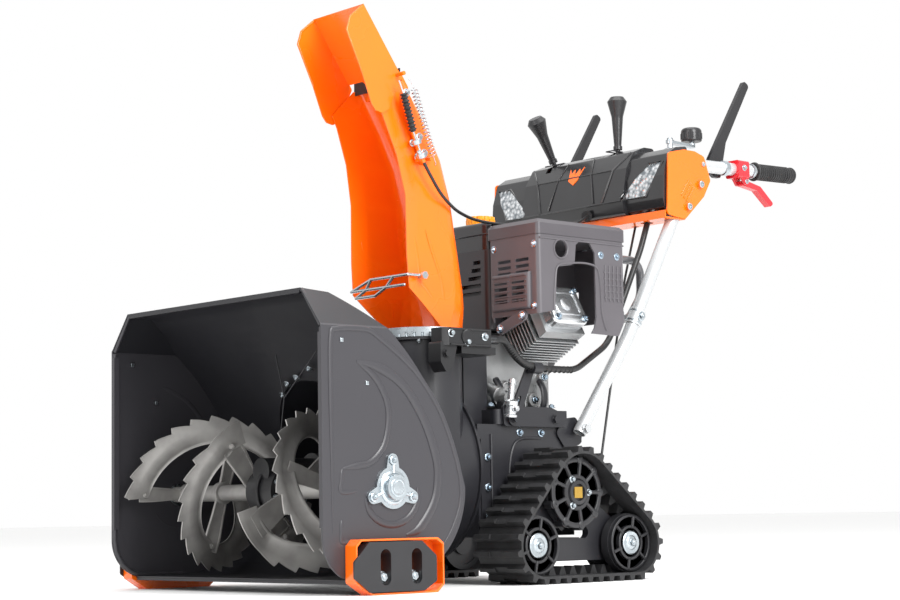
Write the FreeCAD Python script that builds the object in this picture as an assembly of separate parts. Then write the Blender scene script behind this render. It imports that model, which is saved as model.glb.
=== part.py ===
"""Tracked two-stage snow blower, millimetres, +Z up, front faces -Y.

Shapes are drawn with y measured backwards from the mouth of the bucket and are
moved forward by half the overall length when they are written.
"""
import FreeCAD
import Part
import math
import os

V = FreeCAD.Vector
os.makedirs("parts", exist_ok=True)

# ---------------------------------------------------------------- sizes, overall
overall_length = 1424.0
sheet = 3.0
running_fit = 0.05
part_gap = 0.5

# bucket
bucket_width = 680.0
bucket_height = 545.0
bucket_corner_z = 474.0
bucket_corner_x = 282.0
bucket_floor_z = 24.0
bucket_toe_radius = 75.0
bucket_top_end = (60.0, 540.0)
bucket_top_mid = (225.0, 402.0)
front_hem = 12.0
scraper_front = 56.0
scraper_depth = 62.0
scraper_thick = 5.0

# auger
auger_y = 157.0
auger_z = 188.0
bucket_back_radius = 178.0
auger_shaft_r = 16.0
auger_tip_r = 155.0
auger_root_r = 99.0
auger_tooth = 11.0
auger_teeth = 15
auger_tooth_lead = 0.85
auger_thick = 4.0
auger_inner_x = 60.0
auger_outer_x = 296.0
auger_sweep = 220.0
auger_end_plate = 36.0
auger_arm = 34.0
auger_start_left = 52.0
auger_start_right = -36.0
bearing_plate = 5.0
bearing_lobe_reach = 49.0
bearing_lobe_angles = (90.0, 200.0, 340.0)

# impeller, its drum and the neck above it
drum_z = 226.0
drum_radius = 180.0
drum_rear = 524.0
drum_rim = 6.0
neck_x = 100.0
neck_y = 443.0
neck_radius = 79.0
neck_top = 484.0
neck_flange_r = 88.0
impeller_shaft_r = 12.0
impeller_tip_r = 170.0
impeller_front = 400.0
impeller_rear = 505.0
impeller_blades = 4
blade_thick = 4.0

# chute
ring_bottom = 484.4
ring_top = 503.0
ring_radius = 90.0
chute_sheet = 2.5
chute_fold = 34.0
# height, front edge, back face, half width, corner radius, outward flare of the front strips
chute_sections = (
    (503.0, 424.0, 522.0, 80.0, 75.0, 1.0),
    (545.0, 374.0, 516.0, 81.0, 58.0, 5.0),
    (575.0, 338.0, 508.0, 80.0, 45.0, 7.0),
    (640.0, 334.0, 492.0, 79.0, 34.0, 7.0),
    (755.0, 334.0, 470.0, 78.0, 28.0, 7.0),
    (835.0, 318.0, 446.0, 76.0, 25.0, 3.0),
    (905.0, 291.0, 408.0, 73.0, 22.0, 0.5),
    (992.0, 250.0, 350.0, 70.0, 20.0, 1.0),
)
hinge_y = 344.0
hinge_z = 994.0
hinge_r = 3.0
deflector_gap = 2.5
deflector_side = (
    (240.0, 1121.0), (206.0, 1092.0), (197.0, 1064.0), (235.0, 985.0),
    (258.0, 927.0), (268.0, 915.0), (284.0, 912.0), (300.0, 921.0), (334.0, 990.0),
)
bracket_x = neck_x + 81.0
bracket_outline = (
    (334.0, 962.0), (352.0, 950.0), (402.0, 848.0), (398.0, 822.0), (376.0, 822.0), (330.0, 936.0))
bracket_feet_at = ((372.0, 874.0), (384.0, 843.0))
spring_pin = (386.0, 830.0)
ferrule_length = 14.0
deflector_cable_points = (
    (196.0, 372.0, 822.0), (196.0, 400.0, 778.0), (190.0, 452.0, 740.0), (150.0, 540.0, 731.0), (123.0,
        600.0, 731.0),
    (123.0, 830.0, 737.0), (40.0, 1000.0, 796.0))
guard_r = 3.0
guard_low = 567.0
guard_mid = 581.0
guard_high = 600.0

# gearcase
case_half = 170.0
case_rear = 790.0
case_bottom = 92.0
case_top = 316.0
cover_top = 346.0
cover_front = 572.0
cover_rear = 778.0

# tracks
axle_y = 680.0
axle_z = 177.0
axle_r = 12.7
idler_z = 75.0
idler_front_y = 567.0
idler_rear_y = 828.0
track_inner_x = 185.0
track_outer_x = 312.0
belt_clear = 0.5
belt_thick = 5.0
lug_height = 10.5
lug_base = 15.0
lug_tip = 9.0
lug_count = 34
guide_height = 17.0
guide_width = 24.0
guide_base = 21.0
guide_tip = 6.0
idler_r = 59.0
idler_axle_r = 10.0
sprocket_r = 76.0
peg_r = 8.0
peg_count = 9
wheel_gap = 17.0
wheel_width = 18.0
frame_half = 8.0

# engine
crank_z = 436.0
cylinder_y = 716.0
cylinder_tilt = 28.0
fin_count = 9
fin_pitch = 9.0
fin_thick = 3.0
pulley_y = 548.0
crank_pulley_r = 30.0
impeller_pulley_r = 92.0
pulley_width = 16.0
crank_r = 12.5
cover_x = (130.0, 276.0)
cover_y = (600.0, 850.0)
lid_bottom = 692.0
lid_top = 723.0
cover_wall = 4.0
tank_x = (-150.0, 118.0)
tank_y = (612.0, 800.0)
tank_z = (677.0, 736.0)
cap_x = 40.0
cap_y = 664.0
cap_r = 30.0

# handle and panel
tube_r = 14.0
tube_wall = 2.0
handle_points = (
    (191.0, 790.0, 300.0), (215.0, 918.0, 503.0), (251.0, 1032.0, 762.0),
    (251.0, 1082.0, 884.0), (262.0, 1423.3, 891.0),
)
handle_bends = (260.0, 420.0, 60.0)
grip_r = 17.5
grip_length = 128.0
panel_half = 271.0
panel_side = (
    (1000.0, 899.0), (1050.0, 910.0), (1086.0, 910.0), (1116.0, 901.0), (1135.0, 850.0),
    (1112.0, 813.0), (1050.0, 759.0), (1020.0, 761.0), (992.0, 765.0),
)
fascia_profile = (
    (1066.0, 919.0), (1030.0, 914.0), (1004.0, 898.0), (988.0, 850.0),
    (984.0, 800.0), (990.0, 780.0), (1012.0, 776.0), (1066.0, 776.0),
)
console_profile = (
    (1080.0, 931.0), (1048.0, 931.0), (1014.0, 918.0), (990.0, 880.0),
    (974.0, 806.0), (980.0, 778.0), (1000.0, 770.0), (1080.0, 770.0),
)
console_half = 158.0

# skids
skid_reach = 30.0
skid_lip = 3.0
pad_outline = (
    (41.0, 59.0), (75.0, 93.0), (197.0, 93.0), (231.0, 66.0),
    (231.0, 21.0), (203.0, 5.0), (77.0, 5.0), (41.0, 31.0),
)
slot_y = (112.0, 184.0)
slot_z = (17.0, 80.0)
slot_half = 12.0
skid_bolt_z = 31.0


# ---------------------------------------------------------------- drawing helpers
def box(x, y, z):
    """Block between two corners, each axis given as (low, high)."""
    return Part.makeBox(x[1] - x[0], y[1] - y[0], z[1] - z[0], V(x[0], y[0], z[0]))


def rod(p, q, r):
    """Round bar from p to q."""
    start = V(*p)
    along = V(*q) - start
    return Part.makeCylinder(r, along.Length, start, along)


def lift(axis, point, depth):
    """Place a flat (u, v) point on the plane across one axis."""
    u, v = point
    spots = {"x": (depth, u, v), "y": (u, depth, v), "z": (u, v, depth)}
    return V(*spots[axis])


def wire(points, radii=None):
    """Closed wire with its corners rounded; radii is one number or one per corner."""
    count = len(points)
    if radii is None:
        radii = 0.0
    if not isinstance(radii, (list, tuple)):
        radii = [radii] * count
    edges = []
    ends = []
    for i, corner in enumerate(points):
        before = points[i - 1] - corner
        after = points[(i + 1) % count] - corner
        turn = before.getAngle(after)
        if radii[i] <= 0.0 or math.pi - turn < 1e-4:
            ends.append((corner, corner, None))
            continue
        back = radii[i] / math.tan(turn / 2)
        a = corner + before.normalize() * back
        b = corner + after.normalize() * back
        inward = (a + b) * 0.5 - corner
        reach = inward.normalize() * (radii[i] / math.sin(turn / 2) - radii[i])
        ends.append((a, b, corner + reach))
    for i, (a, b, mid) in enumerate(ends):
        if mid is not None:
            edges.append(Part.Arc(a, mid, b).toShape())
        nxt = ends[(i + 1) % count][0]
        if (nxt - b).Length > 1e-6:
            edges.append(Part.LineSegment(b, nxt).toShape())
    return Part.Wire(edges)


def prism(axis, outline, span, radii=None):
    """Extrude a flat outline along one axis between two depths."""
    corners = [lift(axis, p, span[0]) for p in outline]
    face = Part.Face(wire(corners, radii))
    return face.extrude(lift(axis, (0, 0), span[1] - span[0]))


def belt_tangents(circles):
    """Outer tangent after each circle (u, v, r), as (outward angle, leaving point, landing point)."""
    count = len(circles)
    tangents = []
    for i, (u0, v0, r0) in enumerate(circles):
        u1, v1, r1 = circles[(i + 1) % count]
        heading = math.atan2(v1 - v0, u1 - u0)
        side = heading - math.acos((r0 - r1) / math.hypot(u1 - u0, v1 - v0))
        out = (math.cos(side), math.sin(side))
        tangents.append((side, (u0 + r0 * out[0], v0 + r0 * out[1]), (u1 + r1 * out[0], v1 + r1 * out[1])))
    return tangents


def round_loop(axis, circles, span):
    """Solid inside the belt line drawn tight around circles (u, v, r), anticlockwise."""
    tangents = belt_tangents(circles)
    edges = []
    for i, (u, v, r) in enumerate(circles):
        came, _, arrive = tangents[i - 1]
        leave_side, leave, land = tangents[i]
        swing = (leave_side - came) % (2 * math.pi)
        middle = came + swing / 2
        mid = (u + r * math.cos(middle), v + r * math.sin(middle))
        edges.append(Part.Arc(*[lift(axis, p, span[0]) for p in (arrive, mid, leave)]).toShape())
        edges.append(Part.LineSegment(lift(axis, leave, span[0]), lift(axis, land, span[0])).toShape())
    face = Part.Face(Part.Wire(edges))
    return face.extrude(lift(axis, (0, 0), span[1] - span[0]))


def loop_stations(circles, count):
    """Evenly spaced points round the same belt line, as (u, v, outward angle)."""
    runs = []
    tangents = belt_tangents(circles)
    for i, (u, v, r) in enumerate(circles):
        came = tangents[i - 1][0]
        side, a, b = tangents[i]
        swing = (side - came) % (2 * math.pi)
        runs.append(("arc", u, v, r, came, swing, r * swing))
        runs.append(("line", a, b, side, math.dist(a, b)))
    length = sum(run[-1] for run in runs)
    spots = []
    for k in range(count):
        s = length * k / count
        for run in runs:
            if s <= run[-1]:
                break
            s -= run[-1]
        if run[0] == "arc":
            angle = run[4] + s / run[3]
            spots.append((run[1] + run[3] * math.cos(angle), run[2] + run[3] * math.sin(angle), angle))
        else:
            part = s / run[4]
            a, b = run[1], run[2]
            spots.append((a[0] + (b[0] - a[0]) * part, a[1] + (b[1] - a[1]) * part, run[3]))
    return spots


def tube(points, r, bends, wall=None):
    """Round bar or tube along straight runs joined by tangent arcs."""
    spots = [V(*p) for p in points]
    edges = []
    here = spots[0]
    for i in range(1, len(spots) - 1):
        corner = spots[i]
        back = (spots[i - 1] - corner).normalize()
        ahead = (spots[i + 1] - corner).normalize()
        half = back.getAngle(ahead) / 2
        bend = bends[i - 1] if isinstance(bends, (list, tuple)) else bends
        set_back = bend / math.tan(half)
        a = corner + back * set_back
        b = corner + ahead * set_back
        mid = corner + (back + ahead).normalize() * (bend / math.sin(half) - bend)
        edges.append(Part.LineSegment(here, a).toShape())
        edges.append(Part.Arc(a, mid, b).toShape())
        here = b
    edges.append(Part.LineSegment(here, spots[-1]).toShape())
    path = Part.Wire(edges)
    start = spots[1] - spots[0]
    outer = path.makePipe(Part.Face(Part.Wire(Part.makeCircle(r, spots[0], start))))
    if wall is None:
        return outer
    inner = path.makePipe(Part.Face(Part.Wire(Part.makeCircle(r - wall, spots[0], start))))
    return outer.cut(inner)


def hex_head(p, axis, across, height):
    """Hexagonal head standing on p along an axis vector."""
    normal = V(*axis).normalize()
    side = normal.cross(V(0, 0, 1))
    if side.Length < 0.1:
        side = V(1, 0, 0)
    side.normalize()
    other = normal.cross(side)
    corner_r = across / math.sqrt(3)
    corners = []
    for k in range(6):
        angle = math.radians(60 * k)
        corners.append(V(*p) + (side * math.cos(angle) + other * math.sin(angle)) * corner_r)
    return Part.Face(wire(corners)).extrude(normal * height)


def bolt(p, axis, size):
    """Hex bolt head on a washer; size is the thread diameter."""
    normal = V(*axis).normalize()
    washer = Part.makeCylinder(size * 1.1, size * 0.2, V(*p), normal)
    foot = V(*p) + normal * (size * 0.2)
    return washer.fuse(hex_head(tuple(foot), axis, size * 1.6, size * 0.7))


def join(shapes):
    """Fuse a list of touching or separate solids."""
    first, rest = shapes[0], list(shapes[1:])
    if not rest:
        return first
    return first.multiFuse(rest).removeSplitter()


def group(shapes):
    """Several separate solids kept as one part."""
    solids = []
    for shape in shapes:
        solids.extend(shape.Solids)
    return Part.makeCompound(solids)


def mirrored(shape):
    """The same part on the other side of the centre plane."""
    return shape.mirror(V(0, 0, 0), V(1, 0, 0))


def save(node, shape):
    """Write one part, moved so that the machine is centred on the origin."""
    placed = shape.copy()
    placed.translate(V(0, -overall_length / 2, 0))
    placed.exportStep("parts/" + node + ".step")


def save_pair(node, shape):
    """Write a part and its mirror image."""
    save(node + "_left", shape)
    save(node + "_right", mirrored(shape))


def circle_through(a, b, c):
    """Centre and radius of the circle through three flat points."""
    d = 2 * (a[0] * (b[1] - c[1]) + b[0] * (c[1] - a[1]) + c[0] * (a[1] - b[1]))
    sa, sb, sc = (p[0] ** 2 + p[1] ** 2 for p in (a, b, c))
    u = (sa * (b[1] - c[1]) + sb * (c[1] - a[1]) + sc * (a[1] - b[1])) / d
    v = (sa * (c[0] - b[0]) + sb * (a[0] - c[0]) + sc * (b[0] - a[0])) / d
    return u, v, math.dist((u, v), a)


# ---------------------------------------------------------------- bucket
def bucket_section(inset, front):
    """Side outline of the bucket, shrunk by the sheet thickness when wanted."""
    back = (auger_y + bucket_back_radius, auger_z)
    cu, cv, big = circle_through(bucket_top_end, bucket_top_mid, back)
    r = big - inset

    def on_top(point):
        reach = math.dist(point, (cu, cv))
        return (cu + (point[0] - cu) * r / reach, cv + (point[1] - cv) * r / reach)

    low_r = auger_z - bucket_floor_z - inset
    low_y = auger_y + bucket_back_radius - (auger_z - bucket_floor_z)
    top_end = on_top(bucket_top_end)
    heel = (low_y + low_r, auger_z)
    diag = low_r * math.sqrt(0.5)
    belly = (low_y + diag, auger_z - diag)
    floor = (low_y, auger_z - low_r)
    spots = [lift("x", p, -bucket_width / 2) for p in (
        (front, bucket_height - inset), top_end, on_top(bucket_top_mid), heel, belly, floor,
        (front, auger_z - low_r))]
    edges = [
        Part.LineSegment(spots[0], spots[1]).toShape(),
        Part.Arc(spots[1], spots[2], spots[3]).toShape(),
        Part.Arc(spots[3], spots[4], spots[5]).toShape(),
        Part.LineSegment(spots[5], spots[6]).toShape(),
        Part.LineSegment(spots[6], spots[0]).toShape(),
    ]
    return Part.Face(Part.Wire(edges)).extrude(V(bucket_width, 0, 0))


def bucket_gable(inset):
    """Front outline of the bucket with its two cut corners."""
    half = bucket_width / 2
    run = half - bucket_corner_x
    rise = bucket_height - bucket_corner_z
    length = math.hypot(run, rise)
    slip_x = inset * (length - rise) / run
    slip_z = inset * (length - run) / rise
    side = half - inset
    top = bucket_height - inset
    shoulder_z = bucket_corner_z - slip_z
    shoulder_x = bucket_corner_x - slip_x
    outline = (
        (-side, -1.0), (side, -1.0), (side, shoulder_z), (shoulder_x, top), (-shoulder_x, top), (-side,
            shoulder_z))
    return prism("y", outline, (-50.0, 400.0))


bucket_outer = bucket_section(0.0, 0.0).common(bucket_gable(0.0))
bucket_inner = bucket_section(sheet, -10.0).common(bucket_gable(sheet))
side_inner = bucket_width / 2 - sheet
side_outer = bucket_width / 2
drum_bore = rod((0, auger_y, drum_z), (0, drum_rear + 50, drum_z), drum_radius - sheet)

shell = bucket_outer.cut(bucket_inner)
shell = shell.common(box((-side_inner, side_inner), (-5, 400), (0, 600)))
shell = shell.cut(box((-side_inner, side_inner), (-5, scraper_front), (0, bucket_floor_z + sheet + 1)))
shell = shell.cut(drum_bore)
hem = box((-bucket_corner_x + 4, bucket_corner_x - 4), (0, front_hem),
    (bucket_height - 9, bucket_height - sheet))
save("bucket_shell", join([shell, hem]))

side_plate = bucket_outer.common(box((side_inner, side_outer), (-5, 400), (0, 600)))
toe = prism("x", ((-1, -1), (bucket_toe_radius * 2, -1),
    (bucket_toe_radius * 2, bucket_floor_z + bucket_toe_radius),
                  (-1, bucket_floor_z + bucket_toe_radius)), (side_inner - 1, side_outer + 1))
toe_keep = rod((side_inner - 2, bucket_toe_radius, bucket_floor_z + bucket_toe_radius),
               (side_outer + 2, bucket_toe_radius, bucket_floor_z + bucket_toe_radius), bucket_toe_radius)
toe_rest = box((side_inner - 2, side_outer + 2), (bucket_toe_radius, 400), (0, 600))
side_plate = side_plate.cut(toe.cut(toe_keep).cut(toe_rest))
side_hem = box((side_inner - 7, side_inner), (0, front_hem), (bucket_floor_z + 95, bucket_corner_z - 12))
bearing_hole = rod((side_inner - 20, auger_y, auger_z), (side_outer + 20, auger_y, auger_z),
    auger_shaft_r + 6)
side_plate = join([side_plate, side_hem]).cut(bearing_hole)
save_pair("side_plate", side_plate)

scraper = box((-side_inner + 2, side_inner - 2), (scraper_front, scraper_front + scraper_depth),
              (bucket_floor_z - scraper_thick, bucket_floor_z))
save("scraper_bar", scraper)

# auger bearings on the side plates, and the bolts the skids hang on
boss_r = 23.0
boss_reach = 18.0
plate_parts = [rod((side_outer, auger_y, auger_z), (side_outer + bearing_plate, auger_y, auger_z), 38.0)]
fitting_bolts = []
for angle in bearing_lobe_angles:
    out = (math.cos(math.radians(angle)), math.sin(math.radians(angle)))
    lobe_y = auger_y + bearing_lobe_reach * out[0]
    lobe_z = auger_z + bearing_lobe_reach * out[1]
    plate_parts.append(rod((side_outer, lobe_y, lobe_z), (side_outer + bearing_plate, lobe_y, lobe_z),
        12.0))
    arm = round_loop("x", ((auger_y, auger_z, 20.0), (lobe_y, lobe_z, 12.0)),
        (side_outer, side_outer + bearing_plate))
    plate_parts.append(arm)
    plate_parts.append(bolt((side_outer + bearing_plate, lobe_y, lobe_z), (1, 0, 0), 7.0))
plate_parts.append(rod((side_outer, auger_y, auger_z), (side_outer + boss_reach, auger_y, auger_z), boss_r))
bearing = join(plate_parts)
bearing = bearing.cut(rod((side_outer - 5, auger_y, auger_z), (side_outer + boss_reach - 4, auger_y,
    auger_z),
                          auger_shaft_r + running_fit))
skid_base = side_outer + 1.0
for spot in slot_y:
    seat = skid_base + sheet + part_gap
    stud = rod((side_outer, spot, skid_bolt_z), (seat, spot, skid_bolt_z), 5.0)
    head = rod((seat, spot, skid_bolt_z), (seat + 2, spot, skid_bolt_z), 11.0)
    nut = hex_head((seat + 2, spot, skid_bolt_z), (1, 0, 0), 16.0, 9.0)
    fitting_bolts.append(join([stud, head, nut]))
save("side_fittings",
    group([bearing, mirrored(bearing)] + fitting_bolts + [mirrored(b) for b in fitting_bolts]))

# ---------------------------------------------------------------- impeller housing
drum = rod((0, auger_y, drum_z), (0, drum_rear, drum_z), drum_radius)
rim = rod((0, drum_rear - 2 * sheet, drum_z), (0, drum_rear, drum_z), drum_radius + drum_rim)
neck = rod((neck_x, neck_y, drum_z), (neck_x, neck_y, neck_top), neck_radius)
neck_flange = rod((neck_x, neck_y, neck_top - 5), (neck_x, neck_y, neck_top), neck_flange_r)
hollow = rod((0, auger_y - 5, drum_z), (0, drum_rear - sheet, drum_z), drum_radius - sheet)
hollow = hollow.fuse(rod((neck_x, neck_y, drum_z), (neck_x, neck_y, neck_top + 1), neck_radius - sheet))
housing = join([drum, rim, neck, neck_flange]).cut(hollow)
housing = housing.cut(bucket_section(0.0, -10.0))
hub = rod((0, drum_rear - 14, drum_z), (0, drum_rear - sheet, drum_z), 32.0)
housing = join([housing, hub])
housing = housing.cut(rod((0, drum_rear - 30, drum_z), (0, drum_rear + 5, drum_z),
    impeller_shaft_r + running_fit))
save("impeller_housing", housing)

# ---------------------------------------------------------------- auger and its gearbox
worm_front = 118.0
worm_rear = 250.0
gear_r = 46.0
gear_half = 40.0
gearbox = join([
    rod((-gear_half, auger_y, auger_z), (gear_half, auger_y, auger_z), gear_r),
    rod((0, worm_front, drum_z), (0, worm_rear, drum_z), 26.0),
    rod((0, worm_front + 12, drum_z - 12), (0, worm_rear - 24, drum_z - 12), 32.0),
    rod((-gear_half - 8, auger_y, auger_z), (gear_half + 8, auger_y, auger_z), 28.0),
    rod((0, worm_rear - 10, drum_z), (0, worm_rear, drum_z), 36.0),
])
gearbox = gearbox.cut(rod((-60, auger_y, auger_z), (60, auger_y, auger_z), auger_shaft_r + running_fit))
gearbox = gearbox.cut(rod((0, worm_rear - 40, drum_z), (0, worm_rear + 5, drum_z),
    impeller_shaft_r + running_fit))
save("auger_gearbox", gearbox)


def ribbon(start):
    """One helical flight: a strip with a saw-toothed outer edge and a plain inner end."""
    shoulder = auger_tip_r - auger_tooth
    stations = [(start - auger_end_plate * part, 0.0, shoulder) for part in (1.0, 0.5)]
    for k in range(auger_teeth):
        stations.append((start + auger_sweep * k / auger_teeth, k / auger_teeth, shoulder))
        lead = (k + auger_tooth_lead) / auger_teeth
        stations.append((start + auger_sweep * lead, lead, auger_tip_r))
    stations.append((start + auger_sweep, 1.0, shoulder))
    rows = []
    for turn, part, tip in stations:
        angle = math.radians(turn)
        x = auger_inner_x + (auger_outer_x - auger_inner_x) * part
        c, s = math.cos(angle), math.sin(angle)
        rows.append([
            V(x, auger_y + auger_root_r * c, auger_z + auger_root_r * s),
            V(x, auger_y + tip * c, auger_z + tip * s),
            V(x + auger_thick, auger_y + tip * c, auger_z + tip * s),
            V(x + auger_thick, auger_y + auger_root_r * c, auger_z + auger_root_r * s),
        ])
    faces = [Part.Face(Part.makePolygon(rows[0] + rows[0][:1])),
        Part.Face(Part.makePolygon(rows[-1] + rows[-1][:1]))]
    for a, b in zip(rows[:-1], rows[1:]):
        for i in range(4):
            j = (i + 1) % 4
            faces.append(Part.Face(Part.makePolygon([a[i], a[j], b[j], a[i]])))
            faces.append(Part.Face(Part.makePolygon([a[i], b[j], b[i], a[i]])))
    solid = Part.Solid(Part.Shell(faces))
    if solid.Volume < 0:
        solid.reverse()
    return solid


def flight_arm(x, angle):
    """Flat bar from the shaft collar out to the flight."""
    bar = box((x - 3, x + 3), (auger_shaft_r - 2, auger_root_r + 14), (-auger_arm / 2, auger_arm / 2))
    bar.rotate(V(0, 0, 0), V(1, 0, 0), angle)
    bar.translate(V(0, auger_y, auger_z))
    return bar


def flight_set(first_start):
    """Two flights half a turn apart, with their arms and shaft collars."""
    pieces = []
    for start in (first_start, first_start + 180.0):
        pieces.append(ribbon(start))
        for part, turn in ((0.0, -0.5 * auger_end_plate), (0.5, 0.5 * auger_sweep),
            (1.0, auger_sweep - 4.0)):
            x = auger_inner_x + (auger_outer_x - auger_inner_x) * part + auger_thick / 2
            pieces.append(flight_arm(x, start + turn))
    for x in (auger_inner_x, (auger_inner_x + auger_outer_x) / 2, auger_outer_x - 4):
        pieces.append(rod((x - 4, auger_y, auger_z), (x + 12, auger_y, auger_z), auger_shaft_r + 6))
    return join(pieces).cut(rod((0, auger_y, auger_z), (400, auger_y, auger_z), auger_shaft_r))


save("auger_flights_left", flight_set(auger_start_left))
save("auger_flights_right", mirrored(flight_set(auger_start_right)))
shaft_end = side_outer + boss_reach - 5
save("auger_shaft", rod((-shaft_end, auger_y, auger_z), (shaft_end, auger_y, auger_z), auger_shaft_r))

# ---------------------------------------------------------------- impeller
shaft_front = worm_rear - 38
fan_parts = [rod((0, impeller_front, drum_z), (0, impeller_rear, drum_z), 26.0)]
for k in range(impeller_blades):
    blade = box((20.0, impeller_tip_r - 26), (impeller_front + 6, impeller_rear - 4),
        (-blade_thick / 2, blade_thick / 2))
    tip = box((0, 30.0), (impeller_front + 6, impeller_rear - 4), (-blade_thick / 2, blade_thick / 2))
    tip.rotate(V(0, 0, 0), V(0, 1, 0), -32)
    tip.translate(V(impeller_tip_r - 28, 0, 0))
    web = box((20.0, impeller_tip_r - 40), (impeller_rear - 8, impeller_rear - 4), (-18, 18))
    arm = join([blade, tip, web])
    arm.rotate(V(0, 0, 0), V(0, 1, 0), 360.0 * k / impeller_blades)
    arm.translate(V(0, 0, drum_z))
    fan_parts.append(arm)
fan = join(fan_parts).cut(rod((0, impeller_front - 9, drum_z), (0, impeller_rear + 9, drum_z),
    impeller_shaft_r))

def pulley(z, core, bore):
    """Grooved belt pulley across the Y axis."""
    rear = pulley_y + pulley_width
    body = rod((0, pulley_y, z), (0, rear, z), core)
    for edge in (pulley_y, rear - 2.5):
        body = body.fuse(rod((0, edge, z), (0, edge + 2.5, z), core + 7))
    return body.removeSplitter().cut(rod((0, pulley_y - 5, z), (0, rear + 5, z), bore))


impeller_shaft = rod((0, shaft_front, drum_z), (0, pulley_y + pulley_width + 8, drum_z), impeller_shaft_r)
save("impeller", group([join([fan, impeller_shaft]), pulley(drum_z, impeller_pulley_r, impeller_shaft_r)]))
crank_shaft = rod((0, pulley_y - 8, crank_z), (0, 606.0, crank_z), crank_r)
save("crank_pulley", group([crank_shaft, pulley(crank_z, crank_pulley_r, crank_r)]))

# ---------------------------------------------------------------- gearcase and belt cover
case = box((-case_half, case_half), (drum_rear, case_rear), (case_bottom, case_top))
case = case.cut(box((-case_half + sheet, case_half - sheet), (drum_rear + sheet, case_rear - sheet),
                    (case_bottom + sheet, case_top + 1)))
case = case.cut(rod((0, drum_rear - 1, drum_z), (0, drum_rear + 9, drum_z), impeller_shaft_r + 3))
bearing_ring = rod((case_half - 12, axle_y, axle_z), (case_half + 8, axle_y, axle_z), 34.0)
handle_lug = prism("x", ((740.0, 300.0), (760.0, 330.0), (796.0, 334.0), (816.0, 312.0), (812.0, 280.0),
    (770.0, 262.0)),
                   (case_half, case_half + 5), 10.0)
side_rim = box((case_half - 1, case_half + 3), (drum_rear + 6, drum_rear + 18),
    (case_bottom + 20, case_top - 30))
case = join([case, bearing_ring, mirrored(bearing_ring), handle_lug, mirrored(handle_lug), side_rim,
    mirrored(side_rim)])
case = case.cut(rod((-400, axle_y, axle_z), (400, axle_y, axle_z), axle_r + running_fit))
save("gearcase", case)

lid_half = case_half + sheet + 2
top_lid = box((-lid_half, lid_half), (cover_front, cover_rear), (case_top, cover_top))
top_lid = top_lid.makeFillet(12.0, [e for e in top_lid.Edges if e.BoundBox.ZLength > 20])
top_lid = top_lid.cut(box((-case_half, case_half), (cover_front + sheet, cover_rear - sheet),
    (case_top - 1, cover_top - sheet)))
skirt = prism("x", ((584.0, 356.0), (606.0, 352.0), (720.0, 352.0), (760.0, 338.0), (770.0, 312.0),
    (588.0, 312.0)),
              (case_half + sheet + 2, case_half + sheet + 8), 8.0)
lid_face = case_half + sheet + 8
rear_bolt = bolt((lid_face, 731.0, 328.0), (1, 0, 0), 9.0)
front_bolt = bolt((-lid_face, 611.0, 328.0), (-1, 0, 0), 9.0)
gearcase_cover = join([top_lid, skirt, rear_bolt, mirrored(skirt), mirrored(rear_bolt), front_bolt])
save("gearcase_cover", gearcase_cover.cut(join([handle_lug, mirrored(handle_lug)])))

belt_half = 132.0
belt_front = drum_rear
belt_rear = 588.0
belt_outer = prism("y", ((-belt_half, case_top), (belt_half, case_top), (belt_half, 478.0),
    (-belt_half, 478.0)),
                   (belt_front, belt_rear), [0.1, 0.1, 22.0, 22.0])
belt_inner = prism("y", ((-belt_half + sheet, case_top - 1), (belt_half - sheet, case_top - 1),
                         (belt_half - sheet, 478.0 - sheet), (-belt_half + sheet, 478.0 - sheet)),
                   (belt_front + sheet, belt_rear - sheet), [0.1, 0.1, 19.0, 19.0])
belt_cover = belt_outer.cut(belt_inner)
belt_cover = belt_cover.cut(rod((0, belt_rear - 9, crank_z), (0, belt_rear + 9, crank_z), crank_r + 6))
belt_cover = belt_cover.cut(box((-lid_half, lid_half), (cover_front, 620), (case_top - 1, cover_top)))
save("belt_cover", belt_cover)

# ---------------------------------------------------------------- tracks
def track_circles(extra):
    """Belt line round the two idlers and the sprocket, pushed out by a distance."""
    return (
        (idler_front_y, idler_z, idler_r + extra),
        (idler_rear_y, idler_z, idler_r + extra),
        (axle_y, axle_z, sprocket_r + extra),
    )


track_span = (track_inner_x, track_outer_x)
track_mid = (track_inner_x + track_outer_x) / 2
belt_in = belt_clear
belt_out = belt_clear + belt_thick
belt = round_loop("x", track_circles(belt_out), track_span).cut(
    round_loop("x", track_circles(belt_in), (track_inner_x - 1, track_outer_x + 1)))
track_parts = [belt]
for u, v, angle in loop_stations(track_circles(belt_out), lug_count):
    turn = math.degrees(angle)
    lug = prism("x", ((-1.0, -lug_base / 2), (0, -lug_base / 2), (lug_height, -lug_tip / 2),
                      (lug_height, lug_tip / 2), (0, lug_base / 2), (-1.0, lug_base / 2)), track_span)
    notch = box((track_mid - 18, track_mid + 18), (lug_height - 3.5, lug_height + 1), (-lug_base, lug_base))
    lug = lug.cut(notch)
    lug.rotate(V(0, 0, 0), V(1, 0, 0), turn)
    lug.translate(V(0, u, v))
    track_parts.append(lug)
for u, v, angle in loop_stations(track_circles(belt_in), lug_count):
    guide = prism("x", ((1.0, -guide_base / 2), (1.0, guide_base / 2), (-guide_height, guide_tip / 2),
                        (-guide_height,
                            -guide_tip / 2)), (track_mid - guide_width / 2, track_mid + guide_width / 2))
    guide.rotate(V(0, 0, 0), V(1, 0, 0), math.degrees(angle))
    guide.translate(V(0, u, v))
    track_parts.append(guide)
save_pair("track", join(track_parts))

# running gear, written one part per wheel
disc_in = track_mid - wheel_gap
disc_out = track_mid + wheel_gap


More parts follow.
